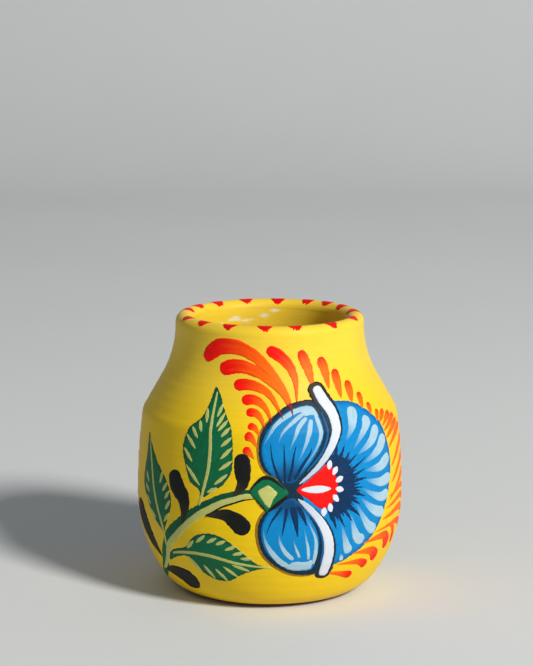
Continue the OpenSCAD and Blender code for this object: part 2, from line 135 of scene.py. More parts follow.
class Skin:
    """The surface turned by an outline. A place on it is a turn and a run along it."""

    def __init__(self, curve):
        steps = np.linalg.norm(np.diff(curve, axis=0), axis=1)
        keep = np.concatenate([[True], steps > 0.001])
        self.curve = curve[keep]
        self.runs = runs_along(self.curve)
        slope = np.gradient(self.curve, self.runs, axis=0)
        slope /= np.linalg.norm(slope, axis=1)[:, None]
        self.normals = np.column_stack([slope[:, 1], -slope[:, 0]])
        self.crest = int(np.argmax(self.curve[:, 1]))
        self.crest_run = self.runs[self.crest]

    def radius(self, run):
        return np.interp(run, self.runs, self.curve[:, 0])

    def level(self, run):
        return np.interp(run, self.runs, self.curve[:, 1])

    def outside_run(self, level):
        return np.interp(level, self.curve[:self.crest, 1], self.runs[:self.crest])

    def inside_run(self, level):
        down = slice(None, self.crest, -1)
        return np.interp(level, self.curve[down, 1], self.runs[down])

    def place(self, turn, run, lift):
        """Points in metres, lifted off the surface by lift mm."""
        level = self.level(run)
        proud = lift + unevenness(turn, level)
        out = self.radius(run) + np.interp(run, self.runs, self.normals[:, 0]) * proud
        up = level + np.interp(run, self.runs, self.normals[:, 1]) * proud
        angle = np.radians(turn)
        return np.column_stack([out * np.sin(angle), -out * np.cos(angle), np.maximum(up, 0)]) * MM


# Slow waves around the wall: height in mm, waves in a turn, start, mm of level for a radian.
WALL_WAVES = [(0.13, 2, 0.7, 50), (0.07, 3, -1.1, -34), (0.05, 7, 2.3, 9)]
# Throwing rings: height in mm, radians in a mm of level, wander and its start.
THROWING_RINGS = [(0.035, 1.45, 0.8, 0), (0.02, 3.9, 1.3, 1)]
EVEN_FOOT = 6


def unevenness(turn, level):
    """How far the thrown and hand-smoothed wall stands out from a true round, mm."""
    angle = np.radians(turn)
    proud = 0
    for height, count, start, climb in WALL_WAVES:
        proud = proud + height * np.sin(count * angle + start + level / climb)
    for height, pitch, wander, start in THROWING_RINGS:
        proud = proud + height * np.sin(level * pitch + wander * np.sin(angle + start))
    return proud * np.clip(level / EVEN_FOOT, 0, 1)


SKIN = Skin(whole_curve(COAT))
CLAY_SKIN = Skin(whole_curve(0))


# ---- Small helpers for curves, noise and colour ----

def tint(red, green, blue):
    """A colour given from 0 to 255, in linear light."""
    return np.array([((part / 255 + 0.055) / 1.055) ** 2.4 for part in (red, green, blue)])


def ease(value, start, stop):
    """A smooth step from 0 at start to 1 at stop."""
    part = np.clip((value - start) / (stop - start), 0, 1)
    return part * part * (3 - 2 * part)


def bend(before, start, stop, after, part):
    """A place on the smooth curve from start to stop, between the points before and after."""
    square = part * part
    return (start + (stop - before) * part / 2
            + (before - 2.5 * start + 2 * stop - after / 2) * square
            + (3 * start - before - 3 * stop + after) * square * part / 2)


def through(points, steps):
    """A smooth curve through points; steps counts the points passed."""
    spots = np.array(points, dtype=float)
    spots = np.vstack([2 * spots[0] - spots[1], spots, 2 * spots[-1] - spots[-2]])
    index = np.minimum(steps.astype(int), len(points) - 2)
    part = (steps - index)[:, None]
    return bend(spots[index], spots[index + 1], spots[index + 2], spots[index + 3], part)


def around(points, per_span=6):
    """A smooth closed curve through points."""
    spots = np.array(points, dtype=float)
    count = len(spots)
    steps = np.arange(count * per_span) / per_span
    index = steps.astype(int)
    part = (steps - index)[:, None]
    return bend(spots[index - 1], spots[index], spots[(index + 1) % count],
                spots[(index + 2) % count], part)


def ripple(run, seed, wave=2.6):
    """Smooth unevenness between about -1 and 1 along run, different for each seed."""
    turn = run * math.tau / wave
    return (np.sin(turn + seed) + 0.6 * np.sin(turn * 2.3 + seed * 1.7)
            + 0.4 * np.sin(turn * 5.1 + seed * 2.9)) / 2


def inside(loop, points):
    """Which of the points lie in the closed loop."""
    found = np.zeros(len(points), dtype=bool)
    for start, stop in zip(loop, np.roll(loop, -1, axis=0)):
        crosses = (start[1] > points[:, 1]) != (stop[1] > points[:, 1])
        rise = stop[1] - start[1] if stop[1] != start[1] else 1
        reach = start[0] + (points[:, 1] - start[1]) / rise * (stop[0] - start[0])
        found ^= crosses & (points[:, 0] < reach)
    return found


def edge_distance(loop, points):
    """How far each of the points is from the closed loop."""
    best = np.full(len(points), np.inf)
    for start, stop in zip(loop, np.roll(loop, -1, axis=0)):
        side = stop - start
        part = np.clip((points - start) @ side / max(side @ side, 1e-9), 0, 1)
        best = np.minimum(best, np.linalg.norm(points - start - part[:, None] * side, axis=1))
    return best


def brush_shape(lean, fullness):
    """How the width runs along a stroke. A small lean puts the widest place near its head,
    and a small fullness keeps it broad up to its ends."""
    def shape(part):
        return np.sin(np.pi * np.clip(part, 0, 1) ** lean) ** fullness
    return shape


comma = brush_shape(0.45, 0.8)
feather = brush_shape(0.38, 0.8)
leaf = brush_shape(0.6, 0.65)
band = brush_shape(0.42, 0.5)
bud = brush_shape(0.5, 0.7)
petal = brush_shape(1, 0.7)
ribbon = brush_shape(1, 0.25)


def rib(part):
    """A line that grows wider from the leaf's tip to its base."""
    return ribbon(part) * (0.65 + 0.35 * part)


# ---- Colours, in linear light ----

YELLOW = tint(238, 198, 0)
# A paler yellow for the painted sheen on the upper wall, and for a slight cloudy tone.
PALE_SHEEN_YELLOW = tint(244, 210, 84)
TERRACOTTA = tint(172, 96, 60)
RED = tint(244, 14, 4)
ORANGE = tint(250, 108, 6)
DEEP_RED = tint(222, 0, 2)
DARK_RED = tint(118, 28, 34)
BLUE = tint(0, 130, 194)
DEEP_BLUE = tint(0, 94, 158)
LIGHT_BLUE = tint(164, 196, 212)
NAVY = tint(2, 46, 86)
OUTLINE = tint(12, 44, 62)
BROWN = tint(50, 36, 24)
HALO = tint(150, 108, 18)
WHITE = tint(212, 218, 226)
CUFF_GREY = tint(180, 192, 208)
GREEN = tint(10, 104, 64)
DEEP_GREEN = tint(8, 78, 54)
PALE_GREEN = tint(190, 194, 110)
BLACK = tint(22, 22, 20)
THIN_BLACK = tint(54, 48, 34)
GLINT_WHITE = tint(238, 232, 205)
DARK_CLAY = tint(158, 84, 52)
LIGHT_CLAY = tint(190, 118, 78)
CLAY_SPECK = tint(92, 50, 36)
SAND_GRAIN = tint(222, 176, 138)
PAPER = tint(214, 216, 216)
PALE_PAPER = tint(222, 223, 222)


def fade(head, tail=None, start=0.2, stop=0.9, cover=1.0, tail_cover=1.0):
    """Colour of a stroke that turns from head to tail between start and stop, as parts of its
    length. How well it covers what is under it goes from cover to tail_cover."""
    tail = head if tail is None else tail

    def colour(part, side, turn, level):
        wander = 0.1 * ripple(side * 3, level.mean())
        amount = ease(part + wander, start, stop)[:, None]
        thickness = cover + (tail_cover - cover) * ease(part, 0.35, 1)
        return np.column_stack([head + (tail - head) * amount, thickness])
    return colour


def even(main, rim=None, width=1.5):
    """Colour of a filled area that takes another tone within width mm of its edge."""
    rim = main if rim is None else rim

    def colour(turn, level, depth):
        amount = ease(depth, 0, width)[:, None]
        return np.column_stack([main * amount + rim * (1 - amount), np.ones(len(turn))])
    return colour


# ---- Thin closed meshes of paint ----

# How far each paint's top stands over the ground paint, mm: later paint stands higher.
LIFT = {
    "disc": 0.05, "blade": 0.07, "halo": 0.08, "stem": 0.08, "feather": 0.09, "ray": 0.11,
    "dab": 0.12, "shade": 0.12, "feather tail": 0.12, "bud": 0.13, "stem line": 0.13,
    "smear": 0.14, "tick": 0.15, "rib": 0.16, "outline": 0.17, "cuff back": 0.19, "heart": 0.2,
    "stem light": 0.2, "throat": 0.22, "side petal": 0.24, "fold": 0.27, "stamen": 0.28,
    "petal light": 0.3, "vein": 0.34, "cuff": 0.38, "calyx": 0.4, "tail over petal": 0.4,
    "calyx arc": 0.45, "calyx core": 0.46,
}
# Where the flower design faces, as a turn.
SIDES = {"front": 0, "back": 180}
# The rim of each mark's top, and its flat underside, lie this far in the ground paint, mm.
SUNK = -0.03
UNDER = -0.08
# A filled area's edge and its grid, mm, and how close the grid's rows are.
EDGE_SLOPE = 0.3
EDGE_STEP = 0.6
EDGE_INSET = 0.35
INSET_CLEAR = 0.2
GRID_ROW = 0.87
# Brush lines that fan out from a place keep their width at this distance from it, mm.
FAN_RADIUS = 14
# A stroke's grid, its least half width, and its raised edges and bristle lines, mm.
STROKE_COLUMNS = 9
STROKE_STEP = 0.75
LEAST_ROWS = 12
END_CROWDING = 0.55
LEAST_HALF = 0.07
BEAD = 0.02
BRISTLE_RIDGE = 0.008


class Layer:
    """Marks of one paint in one mesh, on one side of the vase or, with no side, all around."""

    def __init__(self, name, side=None):
        self.name = name + "_" + side if side else name
        self.turn = SIDES[side] if side else 0
        self.random = random.Random(self.name)
        self.spots = []
        self.faces = []
        self.colours = []
        self.brushes = []
        self.count = 0

    def add(self, turn, run, top, faces, colours, brush):
        """A sheet of paint: its faces on top, the same faces below, and the rim between them."""
        size = len(turn)
        under = np.full(size, UNDER)
        both_turns = np.concatenate([turn, turn]) + self.turn
        both_runs = np.concatenate([run, run])
        self.spots.append(SKIN.place(both_turns, both_runs, np.concatenate([top, under])))
        self.colours.append(np.vstack([colours, colours]))
        self.brushes.append(np.vstack([brush, brush]))
        first = self.count
        sides = {(face[i - 1], face[i]) for face in faces for i in range(len(face))}
        for face in faces:
            self.faces.append([first + i for i in face])
            self.faces.append([first + size + i for i in reversed(face)])
        for start, stop in sorted(sides):
            if (stop, start) not in sides:
                self.faces.append([first + stop, first + start,
                                   first + size + start, first + size + stop])
        self.count += size * 2

    def stroke(self, width, points, shape, coat, colour, tail=None, ragged=0.1):
        """A brush stroke along points, from its round head to its tail, which may lie as high
        as another coat. Its rows are closer together at both ends."""
        last = len(points) - 1
        length = runs_along(through(points, np.linspace(0, last, 24)))[-1]
        rows = max(LEAST_ROWS, int(length / STROKE_STEP)) + 1
        line = np.linspace(0, 1, rows)
        part = (1 - END_CROWDING) * line + END_CROWDING * (1 - np.cos(np.pi * line)) / 2
        centre = through(points, part * last)
        middle = centre[:, 0].mean()
        flat = chart(centre[:, 0], SKIN.outside_run(centre[:, 1]), middle)
        way = np.gradient(flat, axis=0)
        way /= np.linalg.norm(way, axis=1)[:, None]
        across = np.column_stack([-way[:, 1], way[:, 0]])
        along = runs_along(flat)
        seed = self.random.uniform(0, 50)
        head = np.minimum(along, width / 2)
        half = np.minimum(width * shape(part) / 2, np.sqrt(head * (width - head)))
        half = np.maximum(half, LEAST_HALF)
        rough_edge = np.minimum(ragged, half * 0.5)
        left = half + rough_edge * ripple(along, seed)
        right = half + rough_edge * ripple(along, seed + 20)
        side = np.linspace(-1, 1, STROKE_COLUMNS)
        reach = np.where(side < 0, right[:, None], left[:, None]) * side
        spots = (flat[:, None, :] + across[:, None, :] * reach[..., None]).reshape(-1, 2)
        turn, run = unchart(spots, middle)
        parts = np.repeat(part, STROKE_COLUMNS)
        sides = np.tile(side, rows)
        top = LIFT[coat] + (LIFT[tail or coat] - LIFT[coat]) * ease(parts, 0.45, 0.9)
        top = top + BEAD * sides ** 2 + BRISTLE_RIDGE * ripple(sides * 3, seed)
        border = (np.abs(sides) > 0.99) | (parts == 0) | (parts == 1)
        top = np.where(border, SUNK, top)
        faces = []
        for i in range(rows - 1):
            for j in range(STROKE_COLUMNS - 1):
                here = i * STROKE_COLUMNS + j
                ahead = here + STROKE_COLUMNS
                faces.append([here, ahead, ahead + 1, here + 1])
        brush = np.column_stack([np.repeat(along, STROKE_COLUMNS), reach.ravel(), np.full(len(turn), seed)])
        self.add(turn, run, top, faces, colour(parts, sides, turn, SKIN.level(run)), brush)

    def strokes(self, marks, shape, coat, colour, **how):
        for width, points in marks:
            self.stroke(width, points, shape, coat, colour, **how)

    def patch(self, loop, coat, colour, grain=0.0, ragged=0.1, spacing=1.1):
        """A filled area with its edge along loop, as places (turn, run)."""
        middle = loop[:, 0].mean()
        rim = chart(loop[:, 0], loop[:, 1], middle)
        ahead = np.roll(rim, -1, axis=0)
        if (rim[:, 0] * ahead[:, 1] - ahead[:, 0] * rim[:, 1]).sum() < 0:
            rim = rim[::-1]
        rim = even_steps(rim, EDGE_STEP)
        way = np.roll(rim, -1, axis=0) - np.roll(rim, 1, axis=0)
        way /= np.linalg.norm(way, axis=1)[:, None]
        out = np.column_stack([way[:, 1], -way[:, 0]])
        seed = self.random.uniform(0, 50)
        rim = rim + out * ragged * ripple(np.arange(len(rim)) * EDGE_STEP, seed)[:, None]
        inset = rim - out * EDGE_INSET
        inset = inset[inside(rim, inset)]
        inset = inset[edge_distance(rim, inset) > INSET_CLEAR]
        low, high = rim.min(axis=0), rim.max(axis=0)
        columns, rows = np.meshgrid(np.arange(low[0], high[0], spacing),
                                    np.arange(low[1], high[1], spacing * GRID_ROW))
        columns[1::2] += spacing / 2
        grid = np.column_stack([columns.ravel(), rows.ravel()])
        grid = grid[inside(rim, grid)]
        grid = grid[edge_distance(rim, grid) > 2 * EDGE_INSET]
        flat, faces = filled(rim, np.vstack([inset, grid]))
        depth = edge_distance(rim, flat)
        turn, run = unchart(flat, middle)
        wave = 0.01 * ripple(flat[:, 0] + flat[:, 1], seed, 6)
        top = SUNK + (LIFT[coat] - SUNK + wave) * ease(depth, 0, EDGE_SLOPE)
        brush = np.column_stack([brush_places(flat, grain, middle), np.full(len(turn), seed)])
        self.add(turn, run, top, faces, colour(turn, SKIN.level(run), depth), brush)

    def build(self, node):
        mesh = bpy.data.meshes.new(self.name)
        mesh.from_pydata(np.vstack(self.spots).tolist(), [], self.faces)
        set_attribute(mesh, "paint", "FLOAT_COLOR", "color", np.vstack(self.colours))
        set_attribute(mesh, "brush", "FLOAT_VECTOR", "vector", np.vstack(self.brushes))
        add_piece(self.name, mesh, node)


def chart(turn, run, middle):
    """Flat mm around a turn in the middle of a mark."""
    return np.column_stack([np.radians(turn - middle) * SKIN.radius(run), run])


def unchart(flat, middle):
    """The turns and runs of places on the chart."""
    return middle + np.degrees(flat[:, 0] / SKIN.radius(flat[:, 1])), flat[:, 1]


def signed_area(triangle):
    first, second = triangle[1] - triangle[0], triangle[2] - triangle[0]
    return first[0] * second[1] - first[1] * second[0]


def filled(rim, within):
    """Triangles that fill the closed rim, with the points within it as further corners."""
    ring = [(i, (i + 1) % len(rim)) for i in range(len(rim))]
    spots = [Vector(spot) for spot in np.vstack([rim, within])]
    found = delaunay_2d_cdt(spots, ring, [], 1, 1e-4)
    used = sorted({i for face in found[2] for i in face})
    renumber = {old: new for new, old in enumerate(used)}
    flat = np.array([found[0][i] for i in used])
    faces = [[renumber[i] for i in face] for face in found[2]]
    return flat, [face if signed_area(flat[face]) > 0 else face[::-1] for face in faces]


def even_steps(loop, step):
    """The closed loop again, with its points about a step apart."""
    closed = np.vstack([loop, loop[:1]])
    lengths = runs_along(closed)
    marks = np.linspace(0, lengths[-1], max(8, int(lengths[-1] / step)), endpoint=False)
    return np.column_stack([np.interp(marks, lengths, closed[:, i]) for i in (0, 1)])


def brush_places(flat, grain, middle):
    """Brush coordinates in mm: turned by an angle, or radial about a place (turn, level)."""
    if isinstance(grain, tuple):
        hub = chart(np.array([grain[0]]), SKIN.outside_run(np.array([grain[1]])), middle)
        away = flat - hub
        reach = np.linalg.norm(away, axis=1)
        return np.column_stack([reach, np.arctan2(away[:, 1], away[:, 0]) * FAN_RADIUS])
    angle = math.radians(grain)
    along = flat @ np.array([math.cos(angle), math.sin(angle)])
    across = flat @ np.array([-math.sin(angle), math.cos(angle)])
    return np.column_stack([along, across])


def area(points):
    """A closed curve through design points, as places (turn, run)."""
    loop = around(points)
    return np.column_stack([loop[:, 0], SKIN.outside_run(loop[:, 1])])


def set_attribute(mesh, name, kind, field, values):
    attribute = mesh.attributes.new(name, kind, "POINT")
    attribute.data.foreach_set(field, np.ascontiguousarray(values, dtype=np.float32).ravel())


def add_piece(name, mesh, node):
    """A piece with the material slot of the CAD node that it stands for."""
    mesh.materials.append(MATERIALS[SLOTS[node]])
    mesh.shade_smooth()
    mesh.validate()
    piece = bpy.data.objects.new(name, mesh)
    bpy.context.scene.collection.objects.link(piece)
    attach(piece, "root")
    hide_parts(node)


# ---- Materials ----

class Nodes:
    """A material's node tree, with sockets set by name to a value or a link."""

    def __init__(self, name):
        self.material = bpy.data.materials.new(name)
        self.material.use_nodes = True
        self.tree = self.material.node_tree
        self.shader = self.tree.nodes["Principled BSDF"]

    def set(self, node, sockets):
        for name, value in sockets.items():
            socket = node.inputs[name]
            if isinstance(value, bpy.types.NodeSocket):
                self.tree.links.new(value, socket)
            else:
                socket.default_value = value
        return node

    def node(self, kind, sockets, **settings):
        made = self.tree.nodes.new("ShaderNode" + kind)
        for name, value in settings.items():
            setattr(made, name, value)
        return self.set(made, sockets)

    def stretched(self, vector, scale):
        made = self.node("VectorMath", {0: vector, 1: scale}, operation="MULTIPLY")
        return made.outputs["Vector"]

    def noise(self, vector, scale, detail=3.0, rough=0.55):
        sockets = {"Vector": vector, "Scale": scale, "Detail": detail, "Roughness": rough}
        return self.node("TexNoise", sockets).outputs["Fac"]

    def spread(self, value, low, high, to_low=0.0, to_high=1.0):
        sockets = {"Value": value, "From Min": low, "From Max": high,
                   "To Min": to_low, "To Max": to_high}
        return self.node("MapRange", sockets).outputs["Result"]

    def math(self, operation, first, second):
        return self.node("Math", {0: first, 1: second}, operation=operation).outputs[0]

    def mix(self, factor, first, second):
        made = self.node("Mix", {"Factor": factor}, data_type="RGBA")
        self.set_index(made, 6, first)
        self.set_index(made, 7, second)
        return made.outputs[2]

    def set_index(self, node, index, value):
        if isinstance(value, bpy.types.NodeSocket):
            self.tree.links.new(value, node.inputs[index])
        else:
            node.inputs[index].default_value = (*value, 1)

    def attribute(self, name):
        return self.node("Attribute", {}, attribute_name=name)

    def place(self):
        """Where a point lies on the whole object, in metres."""
        return self.node("TexCoord", {}).outputs["Object"]

    def weigh(self, first, share, second, other_share):
        return self.math("ADD", self.math("MULTIPLY", first, share),
                         self.math("MULTIPLY", second, other_share))

    def toned(self, colour, value):
        return self.node("HueSaturation", {"Color": colour, "Value": value}).outputs["Color"]

    def finish(self, colour, roughness, height, depth, gloss=0.5):
        bump = self.node("Bump", {"Height": height, "Distance": depth, "Strength": 1.0})
        self.set(self.shader, {"Base Color": colour, "Roughness": roughness,
                               "Specular IOR Level": gloss, "Normal": bump.outputs["Normal"]})
        return self.material


def brushed_paint(name, under, streaks):
    """Opaque craft paint with bristle streaks that thins out to the colour under it."""
    make = Nodes(name)
    paint = make.attribute("paint")
    brush = make.attribute("brush").outputs["Vector"]
    bristles = make.noise(make.stretched(brush, (0.12, 2.6, 1.0)), 1.0, detail=4.0, rough=0.6)
    blots = make.noise(make.stretched(brush, (0.3, 0.45, 1.0)), 1.0, detail=2.0)
    grain = make.noise(make.place(), 1500.0, detail=2.0)
    tone = make.weigh(bristles, 0.65, blots, 0.35)
    toned = make.toned(paint.outputs["Color"], make.spread(tone, 0.32, 0.68, 1 - streaks, 1 + streaks))
    cover = make.spread(make.math("ADD", paint.outputs["Alpha"], bristles), 0.4, 0.75)
    roughness = make.spread(tone, 0.3, 0.7, 0.42, 0.62)
    height = make.weigh(bristles, 1.0, grain, 0.5)
    return make.finish(make.mix(cover, under, toned), roughness, height, 0.00006, gloss=0.16)


def ground_paint():
    """Yellow ground paint: level brush lines, cloudy thickness, painted highlights inside the lip."""
    make = Nodes("yellow_ground_paint")
    paint = make.attribute("paint")
    glint_spots = make.attribute("glint_spots").outputs["Fac"]
    body = make.place()
    lines = make.noise(make.stretched(body, (45.0, 45.0, 1300.0)), 1.0, detail=4.0, rough=0.6)
    clouds = make.noise(body, 55.0)
    grain = make.noise(body, 1300.0)
    pits = make.noise(body, 420.0, detail=2.0)
    tone = make.weigh(lines, 0.45, clouds, 0.55)
    toned = make.toned(paint.outputs["Color"], make.spread(tone, 0.3, 0.7, 0.93, 1.05))
    cover = make.spread(make.math("ADD", paint.outputs["Alpha"], lines), 0.9, 1.2)
    coat = make.mix(cover, TERRACOTTA, toned)
    # Painted highlights: near-white glints on the paint inside the mouth, where the coat's attribute is
    # strong, streaked by noise.
    glint_streaks = make.noise(make.stretched(body, (150.0, 150.0, 420.0)), 1.0, detail=4.0, rough=0.7)
    glint_amount = make.spread(make.weigh(glint_spots, 0.5, glint_streaks, 1.0), 0.86, 1.02, 0.0, 0.8)
    colour = make.mix(glint_amount, coat, GLINT_WHITE)
    roughness = make.spread(tone, 0.3, 0.7, 0.42, 0.58)
    height = make.weigh(make.weigh(lines, 0.8, grain, 0.5), 1.0, pits, 0.6)
    return make.finish(colour, roughness, height, 0.00007, gloss=0.2)


def fired_clay():
    """Bare low-fired clay: sandy, with dark and pale specks and throwing lines."""
    make = Nodes("terracotta_clay")
    body = make.place()
    clouds = make.noise(body, 60.0, detail=4.0)
    lines = make.noise(make.stretched(body, (60.0, 60.0, 900.0)), 1.0)
    sand = make.noise(body, 1600.0, rough=0.7)
    specks = make.noise(body, 900.0, detail=1.0)
    base = make.mix(make.spread(clouds, 0.35, 0.65), DARK_CLAY, LIGHT_CLAY)
    spotted = make.mix(make.spread(specks, 0.66, 0.72, 0.0, 0.6), base, CLAY_SPECK)
    colour = make.mix(make.spread(sand, 0.62, 0.72, 0.0, 0.5), spotted, SAND_GRAIN)
    roughness = make.spread(clouds, 0.3, 0.7, 0.82, 0.95)
    height = make.weigh(sand, 1.0, lines, 1.2)
    return make.finish(colour, roughness, height, 0.00012, gloss=0.25)


def backdrop_paper():
    make = Nodes("studio_paper")
    body = make.place()
    colour = make.mix(make.noise(body, 3.0), PAPER, PALE_PAPER)
    return make.finish(colour, 0.9, make.noise(body, 900.0), 0.00005)


# What shows where each paint is thin, and how strongly its bristles streak it.
PAINTS = {
    "orange_red_paint": (ORANGE, 0.2),
    "blue_paint": (DEEP_BLUE, 0.1),
    "light_blue_paint": (BLUE, 0.12),
    "navy_paint": (BLUE, 0.3),
    "outline_paint": (tint(60, 70, 60), 0.3),
    "white_paint": (CUFF_GREY, 0.05),
    "red_paint": (DEEP_RED, 0.1),
    "green_paint": (tint(120, 140, 40), 0.2),
    "dark_green_paint": (GREEN, 0.2),
    "pale_green_paint": (tint(90, 150, 90), 0.08),
    "black_paint": (tint(92, 78, 30), 0.35),
}
MATERIALS = {name: brushed_paint(name, *paint) for name, paint in PAINTS.items()}
MATERIALS["terracotta"] = fired_clay()
MATERIALS["yellow_paint"] = ground_paint()


# ---- Clay pot and ground paint ----

# Grid lines of the pot and its coat; the foot's rings are parts of its radius.
CLAY_COLUMNS = 240
CLAY_ROWS = 220
FOOT_RINGS = (0.12, 0.4, 0.7, 0.9)
COAT_COLUMNS = 480
OUTSIDE_ROWS = 108
LIP_ROWS = 32
INSIDE_ROWS = 24
UNDER_ROWS = 22
# The finer rows reach this far on both sides of the crest, and the coat's edges are thinned, mm.
LIP_SPAN = 7
COAT_EDGE = -0.2
CLEAR_OF_CLAY = 0.02
# Painted highlights on the paint inside the mouth: turn, level, reach in degrees, reach in mm.
INSIDE_GLINTS = [
    (184, 113, 8, 2.2), (196, 111, 12, 2.0), (208, 112, 9, 1.6), (176, 115, 6, 1.6),
    (222, 110, 9, 1.4), (160, 106, 8, 1.5), (300, 108, 12, 1.6), (76, 113, 10, 2.2),
]


def ring_faces(columns, rows, first=0, inward=False):
    faces = []
    for j in range(rows - 1):
        for i in range(columns):
            here = first + j * columns + i
            beside = first + j * columns + (i + 1) % columns
            face = [here, beside, beside + columns, here + columns]
            faces.append(face[::-1] if inward else face)
    return faces


def vase_clay():
    """The pot itself: foot, wall, lip and hollow as one closed body."""
    runs = np.linspace(0, CLAY_SKIN.runs[-1], CLAY_ROWS)
    turns = np.arange(CLAY_COLUMNS) * 360 / CLAY_COLUMNS
    rows = [CLAY_SKIN.place(turns, np.full(CLAY_COLUMNS, run), 0) for run in runs]
    foot = [rows[0] * np.array([part, part, 1]) for part in FOOT_RINGS]
    base = [rows[-1] * np.array([part, part, 1]) for part in reversed(FOOT_RINGS)]
    rings = foot + rows + base
    faces = ring_faces(CLAY_COLUMNS, len(rings))
    last = (len(rings) - 1) * CLAY_COLUMNS
    foot_centre = len(rings) * CLAY_COLUMNS
    for i in range(CLAY_COLUMNS):
        beside = (i + 1) % CLAY_COLUMNS
        faces.append([foot_centre, beside, i])
        faces.append([foot_centre + 1, last + i, last + beside])
    spots = np.vstack(rings + [[0, 0, 0], [0, 0, rings[-1][-1][2]]])
    mesh = bpy.data.meshes.new("vase_clay")
    mesh.from_pydata(spots.tolist(), [], faces)
    add_piece("vase_clay", mesh, "clay_body")


def glint_at(turn, level):
    """How strongly a painted highlight shows at a place."""
    total = np.zeros(len(turn))
    for centre, height, wide, tall in INSIDE_GLINTS:
        away = (turn - centre + 180) % 360 - 180
        total = np.maximum(total, np.exp(-(away / wide) ** 2 - ((level - height) / tall) ** 2))
    return total


def coat_sheet(runs, lift, start, stop):
    """One face of the ground paint as turns, runs and lifts. Its lower edge wavers and its
    inner edge has drips."""
    turns = np.arange(COAT_COLUMNS) * 360 / COAT_COLUMNS
    angles = np.radians(turns)
    low_edge = 0.2 * np.sin(9 * angles + 1) + 0.12 * np.sin(20 * angles + 2)
    drips = 0.7 * np.sin(6 * angles + 4) + 0.4 * np.sin(13 * angles + 1) + 0.3 * np.sin(29 * angles)
    part = (runs - start) / (stop - start)
    low_pull = np.clip(1 - part * 12, 0, 1)[:, None]
    high_pull = np.clip(part * 12 - 11, 0, 1)[:, None]
    places = runs[:, None] + low_pull * low_edge + high_pull * drips
    return np.tile(turns, len(runs)), places.ravel(), np.repeat(lift, COAT_COLUMNS)


def yellow_coat():
    """Ground paint over the outside and the lip and part of the way down inside."""
    start = SKIN.outside_run(BARE_FOOT)
    stop = SKIN.inside_run(HEIGHT + COAT - COATED_DEPTH)
    lip_start, lip_stop = SKIN.crest_run - LIP_SPAN, SKIN.crest_run + LIP_SPAN
    fine = np.concatenate([
        np.linspace(start, lip_start, OUTSIDE_ROWS, endpoint=False),
        np.linspace(lip_start, lip_stop, LIP_ROWS, endpoint=False),
        np.linspace(lip_stop, stop, INSIDE_ROWS),
    ])
    coarse = np.concatenate([[fine[0]], np.linspace(fine[1], fine[-2], UNDER_ROWS), [fine[-1]]])
    top_lift = np.zeros(len(fine))
    top_lift[[0, -1]] = COAT_EDGE
    top = coat_sheet(fine, top_lift, start, stop)
    under = coat_sheet(coarse, np.full(len(coarse), CLEAR_OF_CLAY - COAT), start, stop)
    turn, run, lift = [np.concatenate(both) for both in zip(top, under)]
    below = len(fine) * COAT_COLUMNS
    faces = ring_faces(COAT_COLUMNS, len(fine))
    faces += ring_faces(COAT_COLUMNS, len(coarse), below, inward=True)
    top_last, under_last = below - COAT_COLUMNS, len(turn) - COAT_COLUMNS
    for i in range(COAT_COLUMNS):
        beside = (i + 1) % COAT_COLUMNS
        faces.append([beside, i, below + i, below + beside])
        faces.append([top_last + i, top_last + beside, under_last + beside, under_last + i])
    mesh = bpy.data.meshes.new("yellow_coat")
    mesh.from_pydata(SKIN.place(turn, run, lift).tolist(), [], faces)
    level = SKIN.level(run)
    inner = run > SKIN.crest_run
    cloud = 0.5 + 0.5 * np.sin(np.radians(turn) * 3 + level / 14) * np.sin(level / 11 + 1)
    # The upper wall is painted paler as painted sheen; the cloud term adds a slight uneven tone all over.
    cloud_and_sheen = 0.08 * cloud + 0.4 * ease(level, 68, 110)
    shade = YELLOW + (PALE_SHEEN_YELLOW - YELLOW) * cloud_and_sheen[:, None]
    cover = 0.5 + 0.5 * ease(level, 1.2, 3.0) - 0.8 * ease(run, stop - 4, stop + 1) * inner
    set_attribute(mesh, "paint", "FLOAT_COLOR", "color", np.column_stack([shade, cover]))
    # Painted highlights: where the near-white glints lie on the paint inside the mouth.
    set_attribute(mesh, "glint_spots", "FLOAT", "value", glint_at(turn, level) * inner)
    add_piece("yellow_coat", mesh, "ground_coat")


# ---- Dabs over the lip ----

DAB_TURNS = [-67, -47, -26, -3, 16.5, 43, 70, 97, 118, 135, 151.5, 174, 197, 220, 240, 257]
# The toothed end of a dab: mm from its middle line, part of its reach.
DAB_TEETH = [(-1.75, 0.72), (-1.35, 1.0), (-0.8, 0.8), (-0.2, 1.06), (0.35, 0.82), (0.95, 1.0), (1.65, 0.7)]


def dab_end(rng, reach):
    """One end of a dab from side to side, in mm from its middle."""
    return [(x + rng.uniform(-0.2, 0.2), reach * (y + rng.uniform(-0.1, 0.1))) for x, y in DAB_TEETH]


def rim_dabs():
    """Red dabs pressed over the lip, widest on its crest."""
    layer = Layer("rim_dabs")
    rng = layer.random
    for turn in DAB_TURNS:
        half = rng.uniform(2.9, 3.5)
        outer = dab_end(rng, -rng.uniform(3.6, 4.6))
        inner = dab_end(rng, rng.uniform(3.4, 4.4))[::-1]
        side = [(half * 0.86, -1.6), (half, 0.0), (half * 0.9, 1.5)]
        loop = np.array(outer + side + inner + [(-x, y) for x, y in reversed(side)])
        run = SKIN.crest_run + loop[:, 1]
        turns = turn + np.degrees(loop[:, 0] / SKIN.radius(run))
        layer.patch(np.column_stack([turns, run]), "dab", even(DEEP_RED, RED, 0.8),
                    grain=90, ragged=0.06, spacing=0.8)
    layer.build("rim_dabs")


# ---- Feather strokes ----

